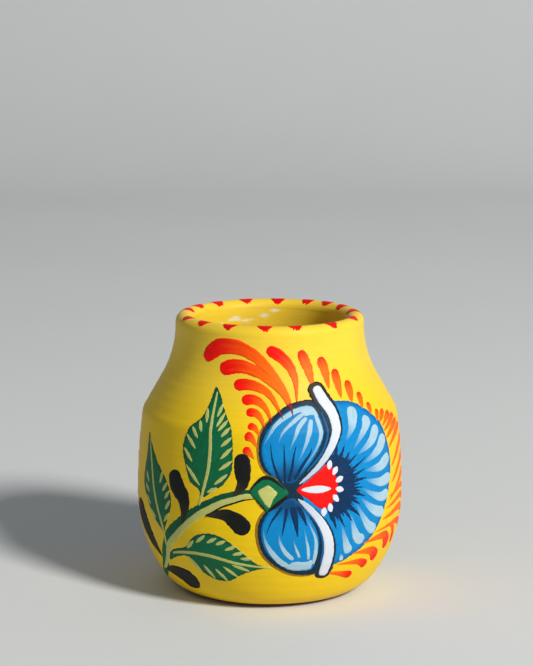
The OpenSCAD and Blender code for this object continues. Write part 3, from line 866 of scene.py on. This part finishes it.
LEFT_FEATHERS = [
    (7.3, [
        [-40, 105.4], [-33, 110.2], [-25.3, 111.7], [-16.4, 111], [-7.8, 107.8], [-0.5, 102.7],
        [6.3, 95.9], [9.7, 90], [10.8, 84]
    ]),
    (6.5, [
        [-28.6, 101.8], [-21.8, 103.5], [-14.2, 103.6], [-6, 101.5], [1.1, 97.6], [6.8, 92.7],
        [10.3, 86.4]
    ]),
    (5.4, [[-19, 96], [-13.4, 96.9], [-7.2, 96.2], [-1.1, 93.8], [3, 89.5], [6.2, 83.6]]),
    (4.9, [[-13.8, 90.6], [-8.9, 91.3], [-4.6, 90.1], [-1, 86.9], [1.3, 81.8]]),
    (4.3, [[-11, 86.3], [-7, 86.3], [-3.9, 84.2], [-1.8, 80]]),
    (3.6, [[-9.6, 81.6], [-6.2, 80.5], [-4.1, 77.3]]),
    (4.4, [[-10.6, 78], [-7.6, 76.6], [-5, 72.6]]),
    (4.1, [[-11, 72.6], [-8.4, 70.7], [-6.4, 68.2]]),
    (5.4, [[-1.6, 111.4], [5.3, 108.5], [10.8, 104.5], [13.6, 99.6], [13.9, 95.2], [13.2, 88.8]]),
]
TOP_FEATHERS = [
    (5.0, [[17.8, 110.4], [19.9, 106.8], [21.9, 102.7], [22.8, 98.7], [23.6, 95]]),
    (5.0, [[30, 107], [32.3, 101.5], [32.4, 94]]),
    (4.8, [[39, 101.6], [38.8, 96], [38, 90]]),
    (4.6, [[46.3, 96.4], [45, 91.9], [43.6, 87.8]]),
    (3.7, [[51.2, 91.2], [50.2, 88.1], [49, 84.6]]),
    (3.1, [[55, 86.6], [54, 84.2], [53, 81.8]]),
    (2.6, [[59.4, 83.2], [57.4, 81], [55.2, 78.8]]),
]
RIGHT_FEATHERS = [
    (2.8, [[64.7, 82.2], [60.7, 80.2], [56.8, 78]]),
    (3.2, [[69.4, 80.6], [64, 78.7], [59, 76]]),
    (3.4, [[73, 79], [66.4, 76.4], [60, 73.6]]),
    (4.0, [[76.5, 76], [69, 73.6], [61.3, 70.3]]),
    (4.2, [[82, 73], [74, 71], [63.3, 66]]),
    (4.8, [[95, 64], [81, 65.5], [65, 57.5]]),
    (4.8, [[95, 56], [82, 58.5], [64.5, 50.5]]),
    (4.5, [[95, 47], [82, 51.3], [62, 43.5]]),
    (2.8, [[95, 41], [80, 46.3], [61.5, 45]]),
    (3.2, [[95, 36], [78, 42.3], [59, 40.5]]),
    (4.2, [[93, 28], [77, 37.5], [56, 36.3]]),
]
LOW_FEATHERS = [
    (4.2, [[90, 25], [73, 32], [51, 31.8]]),
    (4.2, [[71.5, 22.5], [68.3, 30], [60, 33.3]]),
    (6.2, [[65, 22], [59.5, 28.5], [44, 28.3]]),
    (5.8, [[57, 18.5], [51, 23.5], [38.5, 24.8]]),
    (4.4, [[50.5, 17], [43.5, 20], [31, 21]]),
    (4.0, [[42, 14], [34.5, 16], [24, 18.3]]),
]


def feather_colour(red_end, orange_start):
    """Red where the brush was pressed, orange as it lifts, dark red over the flower."""
    petal_edge = around(UPPER_BACK)
    plain = fade(RED, ORANGE, red_end, orange_start, tail_cover=0.8)

    def colour(part, side, turn, level):
        shades = plain(part, side, turn, level)
        over = inside(petal_edge, np.column_stack([turn, level]))
        shades[over] = (*DARK_RED, 1)
        return shades
    return colour


# Each group's strokes, their shape, and the parts of the length where red ends and orange begins.
FEATHERS = {
    "left": (LEFT_FEATHERS, feather, 0.1, 0.7),
    "top": (TOP_FEATHERS, leaf, -0.1, 0.5),
    "right": (RIGHT_FEATHERS, leaf, -0.3, 0.6),
    "low": (LOW_FEATHERS, feather, 0.1, 0.8),
}
# Left feathers whose tails end above this level cross the upper petal.
LOWEST_CROSSING = 79


def feathers(side):
    """Strokes around the flower. The long left ones end on its upper petal."""
    for name, (marks, shape, red_end, orange_start) in FEATHERS.items():
        layer = Layer("feathers_" + name, side)
        colour = feather_colour(red_end, orange_start)
        for width, points in marks:
            crossing = name == "left" and points[-1][1] > LOWEST_CROSSING
            tail = "tail over petal" if crossing else "feather tail"
            layer.stroke(width, points, shape, "feather", colour, tail=tail)
        layer.build("feather_strokes")


# ---- Flower ----

DISC_POINTS = [
    [26, 89.4], [35.5, 89.4], [43, 88.4], [50, 85.2], [55.4, 80.6], [60.4, 73.4], [63.6, 65],
    [64, 58], [62.4, 52.3], [60.4, 46.5], [57.4, 41.2], [54.4, 36.6], [50.8, 32.1], [46.5, 28.4],
    [41, 25.1], [36.5, 23.2], [31.8, 21.6], [25, 22], [12, 34], [10.5, 55], [12, 76]
]
THROAT_HUB = (24, 55.5)
RAYS = [
    (6.0, [[42.5, 86.5], [39.5, 80.5], [34.3, 73.5]]),
    (5.5, [[49.5, 82], [46, 77.5], [38, 69.5]]),
    (6.0, [[54, 77.5], [49.5, 71.5], [40, 67]]),
    (6.5, [[59.5, 72.5], [54, 67], [43, 62.8]]),
    (6.0, [[62.5, 63], [54.5, 59.8], [43.8, 59.6]]),
    (5.5, [[63, 53.8], [54, 53.2], [43.5, 56]]),
    (5.2, [[60.5, 47.3], [53, 47], [41.5, 52.8]]),
    (5.5, [[56.5, 39.5], [49, 42.3], [41, 48.7]]),
    (5.5, [[51, 33], [45.5, 36.5], [38.3, 47]]),
    (5.5, [[44, 29.5], [39, 33], [35.5, 43]]),
    (5.0, [[37, 25.8], [34.5, 29], [31, 39]]),
    (2.5, [[33, 22.5], [32.6, 24], [32, 26]]),
]
SHADE_POINTS = [
    [25, 66], [30, 68.5], [34, 66], [37, 61], [38, 56], [36.5, 50.5], [33, 46], [27, 43.5]
]
SMEAR_TURNS = np.linspace(84, -82, 30)
DEGREES_IN_MM = 1.05
THROAT_POINTS = [
    [10.7, 55.2], [15, 58.5], [20.5, 62.5], [25, 65.5], [28, 62], [29.5, 56], [28.5, 51],
    [25, 47], [21, 46.8], [16, 51]
]
FLAME = (3.8, [[12.8, 55.4], [20, 55], [26.3, 54.8]])
STAMEN_WIDTH = 2.9
STAMEN_REACH = 2.0
STAMENS = [
    [25.7, 64.7], [28.2, 62], [30.2, 58.2], [30.2, 54], [28.3, 50.5], [25.7, 46.8], [22.8, 45.3]
]
UPPER_BACK = [
    [9, 57.5], [3.6, 60.4], [-1.6, 62.6], [-4.4, 68], [-4.6, 75], [-3, 80.4], [2, 85.4],
    [8, 89], [15, 90.6], [21.5, 90.6], [26, 86], [28, 79], [24.6, 70], [17.5, 62]
]
LOWER_BACK = [
    [9, 53], [3.6, 50.4], [-1.6, 46.8], [-4.8, 41], [-4.8, 34], [-2.6, 27.6], [2.4, 22.4],
    [9, 18.8], [16, 17.6], [21.5, 18.4], [24, 24], [24.4, 32], [21.6, 41], [15.6, 49]
]
UPPER_FILL = [
    [8.5, 58], [1, 61.4], [-3, 67.6], [-3.4, 74.6], [-0.6, 80.6], [5.4, 85.6], [12.6, 88.4],
    [20, 88.8], [23.4, 84.4], [23.8, 77.6], [20.4, 70], [12.6, 60.6]
]
LOWER_FILL = [
    [8.5, 52.2], [1.6, 48.8], [-2.8, 42.4], [-3.6, 35.6], [-1.4, 28.6], [4, 23.4], [11, 20.2],
    [18.4, 20], [20.6, 25.6], [21, 33], [18.6, 40.4], [12.2, 50.2]
]
CUFF_BACKS = [
    (9.0, [
        [23.4, 97.3], [26.4, 91], [29.4, 85.8], [29.8, 80.5], [28, 75.2], [24.6, 69.8], [19.4, 64],
        [11.4, 57.4]
    ]),
    (8.8, [
        [24.2, 15.1], [25, 22.4], [25.3, 28.2], [24.2, 34], [22, 39], [18.6, 43.8], [14.2, 48.2],
        [11, 51.6]
    ]),
]
CUFFS = [
    ("upper", 5.6, [
        [24.6, 95.8], [27, 90.5], [29.9, 85.8], [30.3, 80.5], [28.6, 75.2], [25.2, 69.6], [20, 63.9],
        [12, 57.6]
    ]),
    ("lower", 5.4, [
        [24.3, 16.5], [25.4, 22.4], [25.8, 28.2], [24.8, 34], [22.5, 39.2], [19.1, 44.2],
        [14.8, 48.7], [11.5, 51.7]
    ]),
]
HEART = [[3.6, 57], [8, 59.6], [14.4, 59.4], [12.4, 55.2], [14.2, 50.8], [8, 50.4], [3.6, 52.6]]
FOLD_EDGES = [
    (1.1, [[24.6, 86], [25.6, 78], [22.4, 70], [15.4, 62.6]]),
    (1.0, [[22.4, 22], [22.8, 31], [20, 40], [14, 47.6]])
]
UPPER_LIGHTS = [
    (2.6, [[17.3, 87.9], [10.5, 86.2], [3.4, 82.4], [0, 78.2], [-3, 73.3]]),
    (2.2, [[16, 85.9], [11.2, 83.2], [5.7, 79], [3.5, 74.4]]),
    (2.4, [[17, 84.4], [12.9, 80.9], [10.6, 76.6], [8.1, 71.4]]),
    (2.6, [[18.9, 83.6], [17, 78.3], [15, 73], [11.7, 66.6]]),
    (2.4, [[21.2, 86], [22.3, 80], [21.9, 76], [19.2, 70.8], [12.3, 61.8]]),
]
LOWER_LIGHTS = [
    (3.0, [[8.5, 22], [4.2, 24.9], [0.4, 29.5], [-1.8, 34], [-2.8, 39.2]]),
    (2.4, [[10.2, 25.2], [6.6, 28.8], [4.4, 33], [3.6, 37.7]]),
    (1.4, [[12.8, 26], [11, 30.3], [9.5, 34.8]]),
    (1.6, [[16.7, 24.8], [16.2, 29.8], [15.2, 34.2], [14, 39.6]]),
    (2.0, [[19, 22.6], [19.6, 27.9], [19.3, 33.7], [17.1, 39.2], [14.4, 44.6]]),
]
UPPER_BLOB = [[14, 88.2], [20.5, 88.3], [23, 84.5], [20, 84.8], [15.5, 84.8]]
LOWER_BLOB = [
    [7, 22.5], [10.2, 24.6], [15.3, 24.3], [18.5, 24.8], [18.3, 20.7], [14.3, 20], [10.3, 20.1],
    [6.5, 21.5]
]
UPPER_VEINS = [
    (1.4, [[5.4, 57.7], [3.2, 62], [1.2, 68], [0.3, 75.5]]),
    (1.2, [[6.3, 58.3], [6.2, 64.7], [6.1, 70], [6, 75]]),
    (1.4, [[7.8, 58.8], [9.3, 64.6], [10.2, 70], [11.3, 74]]),
    (1.6, [[10.1, 59.4], [13.8, 65.6], [17, 69.9], [17.9, 72.4]]),
]
LOWER_VEINS = [
    (1.3, [[5.4, 49], [2.7, 45.2], [0.4, 41.6], [-1.3, 36.8]]),
    (1.6, [[7, 48.5], [6.5, 44.2], [5.7, 40], [5.1, 35.7]]),
    (3.4, [[9.4, 48.9], [10.3, 44], [11, 39.7], [11.6, 35.3]]),
    (2.4, [[11.5, 49], [13.9, 43.8], [15.4, 39.8]]),
]
# Wider strokes along the outlines' and cuffs' outer ends.
HALOS = [
    (1.5, UPPER_BACK[1:7]), (2.0, LOWER_BACK[1:10]),
    (9.4, CUFF_BACKS[1][1][:3]), (9.2, CUFF_BACKS[0][1][:2])
]


def flower_disc(side):
    """The open blue petal behind the others."""
    layer = Layer("flower_disc", side)
    layer.patch(area(DISC_POINTS), "disc", even(BLUE, DEEP_BLUE, 3), grain=THROAT_HUB, ragged=0.2)
    layer.build("flower_disc")


def disc_rays(side):
    layer = Layer("disc_rays", side)
    layer.strokes(RAYS, comma, "ray", fade(LIGHT_BLUE, BLUE, 0.45, 1.1, tail_cover=0.55))
    layer.build("disc_highlights")


def disc_shade(side):
    """Navy wiped outwards from the throat between the rays, long and short by turns."""
    layer = Layer("disc_shade", side)
    layer.patch(area(SHADE_POINTS), "shade", even(NAVY), grain=THROAT_HUB, ragged=0.5)
    hub = np.array(THROAT_HUB)
    for i, angle in enumerate(np.radians(SMEAR_TURNS)):
        way = np.array([math.cos(angle) * DEGREES_IN_MM, math.sin(angle)])
        reach = layer.random.uniform(14, 18) if i % 2 else layer.random.uniform(18, 23)
        points = [hub + way * part * reach for part in (0.35, 0.65, 1.0)]
        points[1] = points[1] + np.array([-way[1], way[0]]) * layer.random.uniform(-0.5, 0.5)
        width = layer.random.uniform(1.8, 3.4)
        layer.stroke(width, points, comma, "smear", fade(NAVY, cover=0.9, tail_cover=0.42), ragged=0.3)
    layer.build("throat_shade")


def outline_colour(turn, level, depth=None):
    """Dark teal, turning brown at the far ends of the cuffs."""
    brown = (ease(level, 86, 94) + 1 - ease(level, 14, 20))[:, None]
    return np.column_stack([OUTLINE + (BROWN - OUTLINE) * brown, np.ones(len(turn))])


def outline_stroke_colour(part, side, turn, level):
    return outline_colour(turn, level)


def outlines(side):
    layer = Layer("petal_outlines", side)
    for points in (UPPER_BACK, LOWER_BACK):
        layer.patch(area(points), "outline", outline_colour, ragged=0.15)
    layer.patch(area(HEART), "heart", outline_colour, ragged=0.15)
    layer.strokes(CUFF_BACKS, band, "cuff back", outline_stroke_colour, ragged=0.15)
    layer.build("petal_outlines")


def halos(side):
    """Thin brown where the outline's wet edge ran into the yellow."""
    layer = Layer("outline_halo", side)
    layer.strokes(HALOS, ribbon, "halo", fade(HALO, cover=0.8, tail_cover=0.7))
    layer.build("petal_outlines")


def darker_near(place, near, far):
    """Blue that deepens to navy around the place where the petal is gathered."""
    def colour(turn, level, depth):
        away = np.hypot((turn - place[0]) * 0.95, level - place[1])
        deep = (1 - ease(away, near, far))[:, None]
        shade = BLUE + (NAVY - BLUE) * 0.85 * deep
        shade = shade + (DEEP_BLUE - shade) * (1 - ease(depth, 0, 1.2))[:, None] * 0.6
        return np.column_stack([shade, np.ones(len(turn))])
    return colour


def folded_petals(side):
    """The two side petals, with the edge where each is folded over."""
    for name, points, base in (("upper", UPPER_FILL, (9, 57)), ("lower", LOWER_FILL, (9, 53))):
        layer = Layer(name + "_petal", side)
        layer.patch(area(points), "side petal", darker_near(base, 4, 13), grain=base, ragged=0.15)
        layer.build("side_petals")
    folds = Layer("fold_edges", side)
    folds.strokes(FOLD_EDGES, ribbon, "fold", fade(DEEP_BLUE))
    folds.build("side_petals")


def petal_lights(side):
    layer = Layer("petal_lights", side)
    for blob in (UPPER_BLOB, LOWER_BLOB):
        layer.patch(area(blob), "petal light", even(LIGHT_BLUE), ragged=0.15, spacing=0.9)
    layer.strokes(UPPER_LIGHTS + LOWER_LIGHTS, comma, "petal light",
                  fade(LIGHT_BLUE, BLUE, 0.4, 1.1, tail_cover=0.6))
    layer.build("petal_highlights")


def petal_veins(side):
    layer = Layer("petal_veins", side)
    layer.strokes(UPPER_VEINS + LOWER_VEINS, comma, "vein", fade(NAVY, tail_cover=0.7), ragged=0.08)
    layer.build("petal_veins")


def throat(side):
    layer = Layer("throat", side)
    layer.patch(area(THROAT_POINTS), "throat", even(RED, DEEP_RED, 1.5), grain=(12, 55))
    layer.build("throat")


def stamens(side):
    """White drops that point away from the throat, and the flame in its middle."""
    layer = Layer("stamens", side)
    layer.stroke(*FLAME, petal, "stamen", fade(WHITE))
    for centre in STAMENS:
        away = np.array([(centre[0] - THROAT_HUB[0]) * 0.9, centre[1] - THROAT_HUB[1]])
        away *= STAMEN_REACH / np.linalg.norm(away)
        step = np.array([away[0] * DEGREES_IN_MM, away[1]])
        points = [centre + step, centre, centre - step]
        layer.stroke(STAMEN_WIDTH, points, petal, "stamen", fade(WHITE), ragged=0.08)
    layer.build("stamens")


def petal_cuffs(side):
    """The turned-over white edges of the two side petals."""
    for name, width, points in CUFFS:
        layer = Layer(name + "_cuff", side)
        layer.stroke(width, points, band, "cuff", fade(WHITE, CUFF_GREY, 0.5, 1.0))
        layer.build("petal_cuffs")


# ---- Calyx, stem, leaves and buds ----

CALYX_POINTS = [
    [-8.5, 54.8], [-6.8, 57.5], [-3.5, 60.8], [0, 61.8], [3.6, 59.4], [7, 56], [7.8, 53.8], [4, 50],
    [0.5, 47], [-1, 46], [-3.5, 48.6], [-6, 51.5]
]
CORE_POINTS = [
    [-5, 54.9], [-2.6, 57], [-0.3, 57.9], [1.6, 56.4], [3.4, 54.4], [1.8, 51.8], [0, 48.1], [-2.4, 50]
]
CALYX_ARCS = [
    (1.8, [[-8, 55.5], [-5.2, 58.7], [-2.4, 60.6], [0.8, 60.3], [3.6, 58.2], [6.8, 55.6]]),
    (2.2, [[-1, 46.5], [1.8, 48.6], [5, 51.2], [7.5, 53.4]]),
    (0.8, [[-5.5, 51.5], [-3.4, 49.2], [-1.5, 47]]),
]
STEM = [
    [-73, 6], [-66, 10], [-59, 15], [-54, 22], [-50.5, 27], [-46, 33], [-35, 41.6], [-25, 48.2],
    [-15, 52.6], [-5, 54.8]
]
STEM_LIGHT = [
    [-63, 12.5], [-58.5, 15], [-53.3, 20], [-50.7, 24.5], [-48.5, 27.6], [-44.5, 31], [-40, 35.1],
    [-35, 39.6], [-30, 43.5], [-25, 46.6], [-20, 49.3], [-15, 51.1], [-10, 52.8], [-4, 53.5]
]
STEM_UNDERSIDE = [
    [-28, 42], [-25, 44.3], [-20, 47.5], [-15, 49.6], [-10, 51.2], [-5.5, 51.8]
]
TALL_LEAF = [
    [-29, 95.3], [-24.8, 92], [-22.6, 88.7], [-19.5, 84.3], [-16.8, 80.5], [-15.6, 75.1], [-15.4, 69],
    [-15.5, 64.4], [-16.5, 61], [-20, 56.3], [-24, 54], [-27.5, 51], [-30, 51], [-30.5, 53.5],
    [-34.8, 56.2], [-36.4, 59], [-37.8, 63], [-39.4, 67.5], [-39.7, 71], [-39.2, 74], [-38, 77],
    [-36.3, 79.8], [-32.4, 83], [-30.8, 86.5], [-30, 89.8]
]
LEFT_LEAF = [
    [-65.2, 72.8], [-62.6, 69.3], [-58.6, 64.7], [-55.8, 61.6], [-52, 58.3], [-48.7, 54.8], [-46, 49.6],
    [-45.5, 44.5], [-47.3, 39.3], [-49.3, 35.5], [-51.5, 31.5], [-53.8, 33.3], [-57, 35.7],
    [-61.5, 40.3], [-66, 45], [-68.8, 50], [-68, 56.5], [-66.2, 62.5], [-65.8, 69]
]
LOW_LEAF = [
    [-1.5, 21.8], [-5.4, 23.5], [-9.8, 27], [-15.7, 31.9], [-20.6, 34.9], [-25, 35.7], [-29.7, 35.2],
    [-33, 33.7], [-36.3, 30.6], [-38.5, 28], [-47.5, 24.8], [-51.5, 21], [-51.5, 19], [-45, 22],
    [-39.3, 23.4], [-37, 21.2], [-32.5, 17.3], [-28.3, 15.1], [-23.8, 14], [-18.2, 14.6], [-14, 17],
    [-10.2, 19], [-5.8, 20.4]
]
TALL_RIB = [
    [-27.4, 93.4], [-27.1, 89.5], [-26.7, 84], [-26.1, 79.4], [-25.7, 72.4], [-26, 65.5], [-26.7, 60.8],
    [-28.2, 54.8], [-30.4, 46.8]
]
LEFT_RIB = [
    [-63.5, 70.5], [-62, 65], [-60, 58.3], [-58.3, 51], [-56, 44.3], [-52.6, 36.5], [-51.3, 31],
    [-51.2, 25]
]
LOW_RIB = [
    [1, 21.8], [-5.5, 22.2], [-10.5, 22.8], [-15.7, 23.5], [-21.2, 24.7], [-26.5, 25.5], [-34.2, 25.7],
    [-42, 24.7], [-48, 23.2]
]
# Each tick runs from one (turn, level) to another.
TALL_TICKS = [
    (-22.9, 89, -24.1, 84.5), (-21, 85.6, -23.4, 80.8), (-19, 83, -22.2, 79.2),
    (-17.3, 80.4, -20.6, 77), (-16.3, 76.6, -20.4, 73), (-16, 72.5, -20.4, 68),
    (-15.8, 67, -20.8, 63.3), (-17.8, 61.3, -22.8, 57.2), (-22.2, 55.4, -26.2, 53.3),
    (-30.2, 86.7, -29, 82), (-32.4, 82, -30.6, 78.3), (-35.2, 79.3, -32.4, 75.5),
    (-37.8, 76, -33.4, 71.2), (-38.8, 70.3, -34.8, 65.6), (-37.2, 63.2, -31, 56.5),
]
LEFT_TICKS = [
    (-51.5, 58.2, -53, 53.4), (-48.3, 53.8, -51, 50.2), (-46.8, 50.6, -49.3, 47.2),
    (-46.3, 46.6, -49, 42.6), (-47, 41, -50, 37.2), (-65.4, 55.4, -63, 51.8), (-66, 50.2, -62.6, 47.4),
    (-65, 45.4, -61.4, 42.4), (-61, 40, -57, 37.2),
]
LOW_TICKS = [
    (-34, 31.3, -37.3, 27.8), (-28, 34.5, -32, 31.2), (-22.7, 34, -26.7, 31.7),
    (-18.7, 33.1, -22.6, 31.3), (-14, 31.2, -18.6, 29.2), (-11, 28.5, -15.4, 27.3),
    (-7.5, 25.7, -12, 25.6), (-32.3, 17.6, -37.5, 23), (-26, 15, -30, 20.2), (-20, 14.6, -24.2, 19.2),
    (-14.5, 16.8, -20, 20.8), (-9, 20, -15.8, 22.2),
]
BUDS = [
    (8.6, [[-44.5, 60.2], [-42.3, 54], [-38.8, 49.5], [-37.8, 44], [-39.3, 37]]),
    (7.4, [[-11.7, 70.4], [-11.2, 63], [-11.3, 57.5], [-15.5, 51.5]]),
    (8.4, [[-8.9, 37.2], [-13, 41.2], [-18.6, 44.3], [-27.5, 43.2]]),
    (12.0, [[-37.4, 8.8], [-43.2, 11.4], [-50, 13.2], [-62, 12.8]]),
    (12.0, [[-78, 40], [-71, 33], [-64, 25], [-58.5, 19]]),
]
RIB_WIDTH = 2.0
# A painted tick reaches past both its ends by these parts of its length.
TICK_WIDTH = 1.8
TICK_START = 0.06
TICK_TAIL = 0.15
LEAVES = [
    ("tall", TALL_LEAF, TALL_RIB, TALL_TICKS, 75),
    ("left", LEFT_LEAF, LEFT_RIB, LEFT_TICKS, 110),
    ("low", LOW_LEAF, LOW_RIB, LOW_TICKS, 165),
]


def calyx(side):
    layer = Layer("calyx", side)
    layer.patch(area(CALYX_POINTS), "calyx", even(GREEN, DEEP_GREEN, 1.0), ragged=0.12, spacing=0.9)
    layer.build("calyx")
    arcs = Layer("calyx_arcs", side)
    arcs.strokes(CALYX_ARCS, petal, "calyx arc", fade(BLACK), ragged=0.08)
    arcs.build("calyx")
    core = Layer("calyx_core", side)
    core.patch(area(CORE_POINTS), "calyx core", even(PALE_GREEN), spacing=0.8)
    core.build("calyx_core")


def stem(side):
    layer = Layer("stem", side)
    layer.stroke(5.6, STEM, ribbon, "stem", fade(GREEN, DEEP_GREEN), ragged=0.15)
    layer.stroke(0.9, STEM_UNDERSIDE, petal, "stem line", fade(BLACK), ragged=0.08)
    layer.build("stems")
    light = Layer("stem_light", side)
    light.stroke(3.2, STEM_LIGHT, ribbon, "stem light", fade(PALE_GREEN), ragged=0.14)
    light.build("stem_lights")


def leaves(side):
    for name, blade, middle, ticks, grain in LEAVES:
        layer = Layer(name + "_leaf", side)
        layer.patch(area(blade), "blade", even(GREEN, DEEP_GREEN, 2.0), grain=grain, ragged=0.14)
        layer.build("leaf_blades")
        ribs = Layer(name + "_leaf_ribs", side)
        ribs.stroke(RIB_WIDTH, middle, rib, "rib", fade(PALE_GREEN))
        for start, stop in np.array(ticks).reshape(-1, 2, 2):
            reach = stop - start
            ribs.stroke(TICK_WIDTH, [start - reach * TICK_START, stop + reach * TICK_TAIL], petal,
                        "tick", fade(PALE_GREEN, tail_cover=0.7), ragged=0.12)
        ribs.build("leaf_ribs")


def buds(side):
    layer = Layer("buds", side)
    layer.strokes(BUDS, bud, "bud", fade(BLACK, THIN_BLACK, 0.5, 1, tail_cover=0.7), ragged=0.08)
    layer.build("bud_strokes")


# ---- Put it together ----

vase_clay()
yellow_coat()
rim_dabs()
for vase_side in SIDES:
    for paint_part in (feathers, flower_disc, disc_rays, disc_shade, outlines, halos, folded_petals,
                       petal_lights, petal_veins, throat, stamens, petal_cuffs, calyx, stem,
                       leaves, buds):
        paint_part(vase_side)


# ---- Floor, lights and camera ----

def studio_floor():
    """A pale paper floor that sweeps up behind the vase."""
    half, front, back, sweep, top = 3.0, -2.0, 1.6, 0.8, 2.6
    angles = np.radians(np.linspace(0, 90, 25))
    curve = [(front, 0.0)] + [(back + sweep * math.sin(a), sweep * (1 - math.cos(a))) for a in angles]
    curve.append((back + sweep, top))
    spots = [(x, y, z) for y, z in curve for x in (-half, half)]
    faces = [[2 * i, 2 * i + 1, 2 * i + 3, 2 * i + 2] for i in range(len(curve) - 1)]
    mesh = bpy.data.meshes.new("studio_floor")
    mesh.from_pydata(spots, [], faces)
    mesh.shade_smooth()
    mesh.materials.append(backdrop_paper())
    floor = bpy.data.objects.new("studio_floor", mesh)
    bpy.context.scene.collection.objects.link(floor)


def key_light(azimuth, elevation, distance, size, power):
    """A soft round lamp that shines at the middle of the vase."""
    data = bpy.data.lights.new("key", "AREA")
    data.shape = "DISK"
    data.size = size
    data.energy = power
    data.color = (1.0, 0.98, 0.95)
    light = bpy.data.objects.new("key", data)
    bpy.context.scene.collection.objects.link(light)
    turn, rise = math.radians(azimuth), math.radians(elevation)
    away = Vector((math.sin(turn) * math.cos(rise), -math.cos(turn) * math.cos(rise), math.sin(rise)))
    light.location = Vector((0, 0, HEIGHT * MM / 2)) + away * distance
    light.rotation_euler = away.to_track_quat("Z", "Y").to_euler()


def studio_light():
    """One soft key light from the right and a dim, slightly blue surround."""
    key_light(azimuth=44, elevation=34, distance=4.0, size=0.8, power=176)
    world = bpy.data.worlds.new("studio")
    world.use_nodes = True
    background = world.node_tree.nodes["Background"]
    background.inputs["Color"].default_value = (0.78, 0.86, 0.92, 1)
    background.inputs["Strength"].default_value = 0.22
    bpy.context.scene.world = world
    bpy.context.scene.view_settings.view_transform = "Standard"


def photo_camera():
    """The photograph's view: from 0.85 m, looking ten degrees down."""
    distance, height, pitch = 0.850, 0.2609, 10.02
    data = bpy.data.cameras.new("camera")
    data.lens = 107.9
    data.shift_x = -0.00465
    camera = bpy.data.objects.new("camera", data)
    bpy.context.scene.collection.objects.link(camera)
    camera.location = (0, -distance, height)
    camera.rotation_euler = (math.radians(90 - pitch), 0, 0)
    bpy.context.scene.camera = camera


studio_floor()
studio_light()
photo_camera()
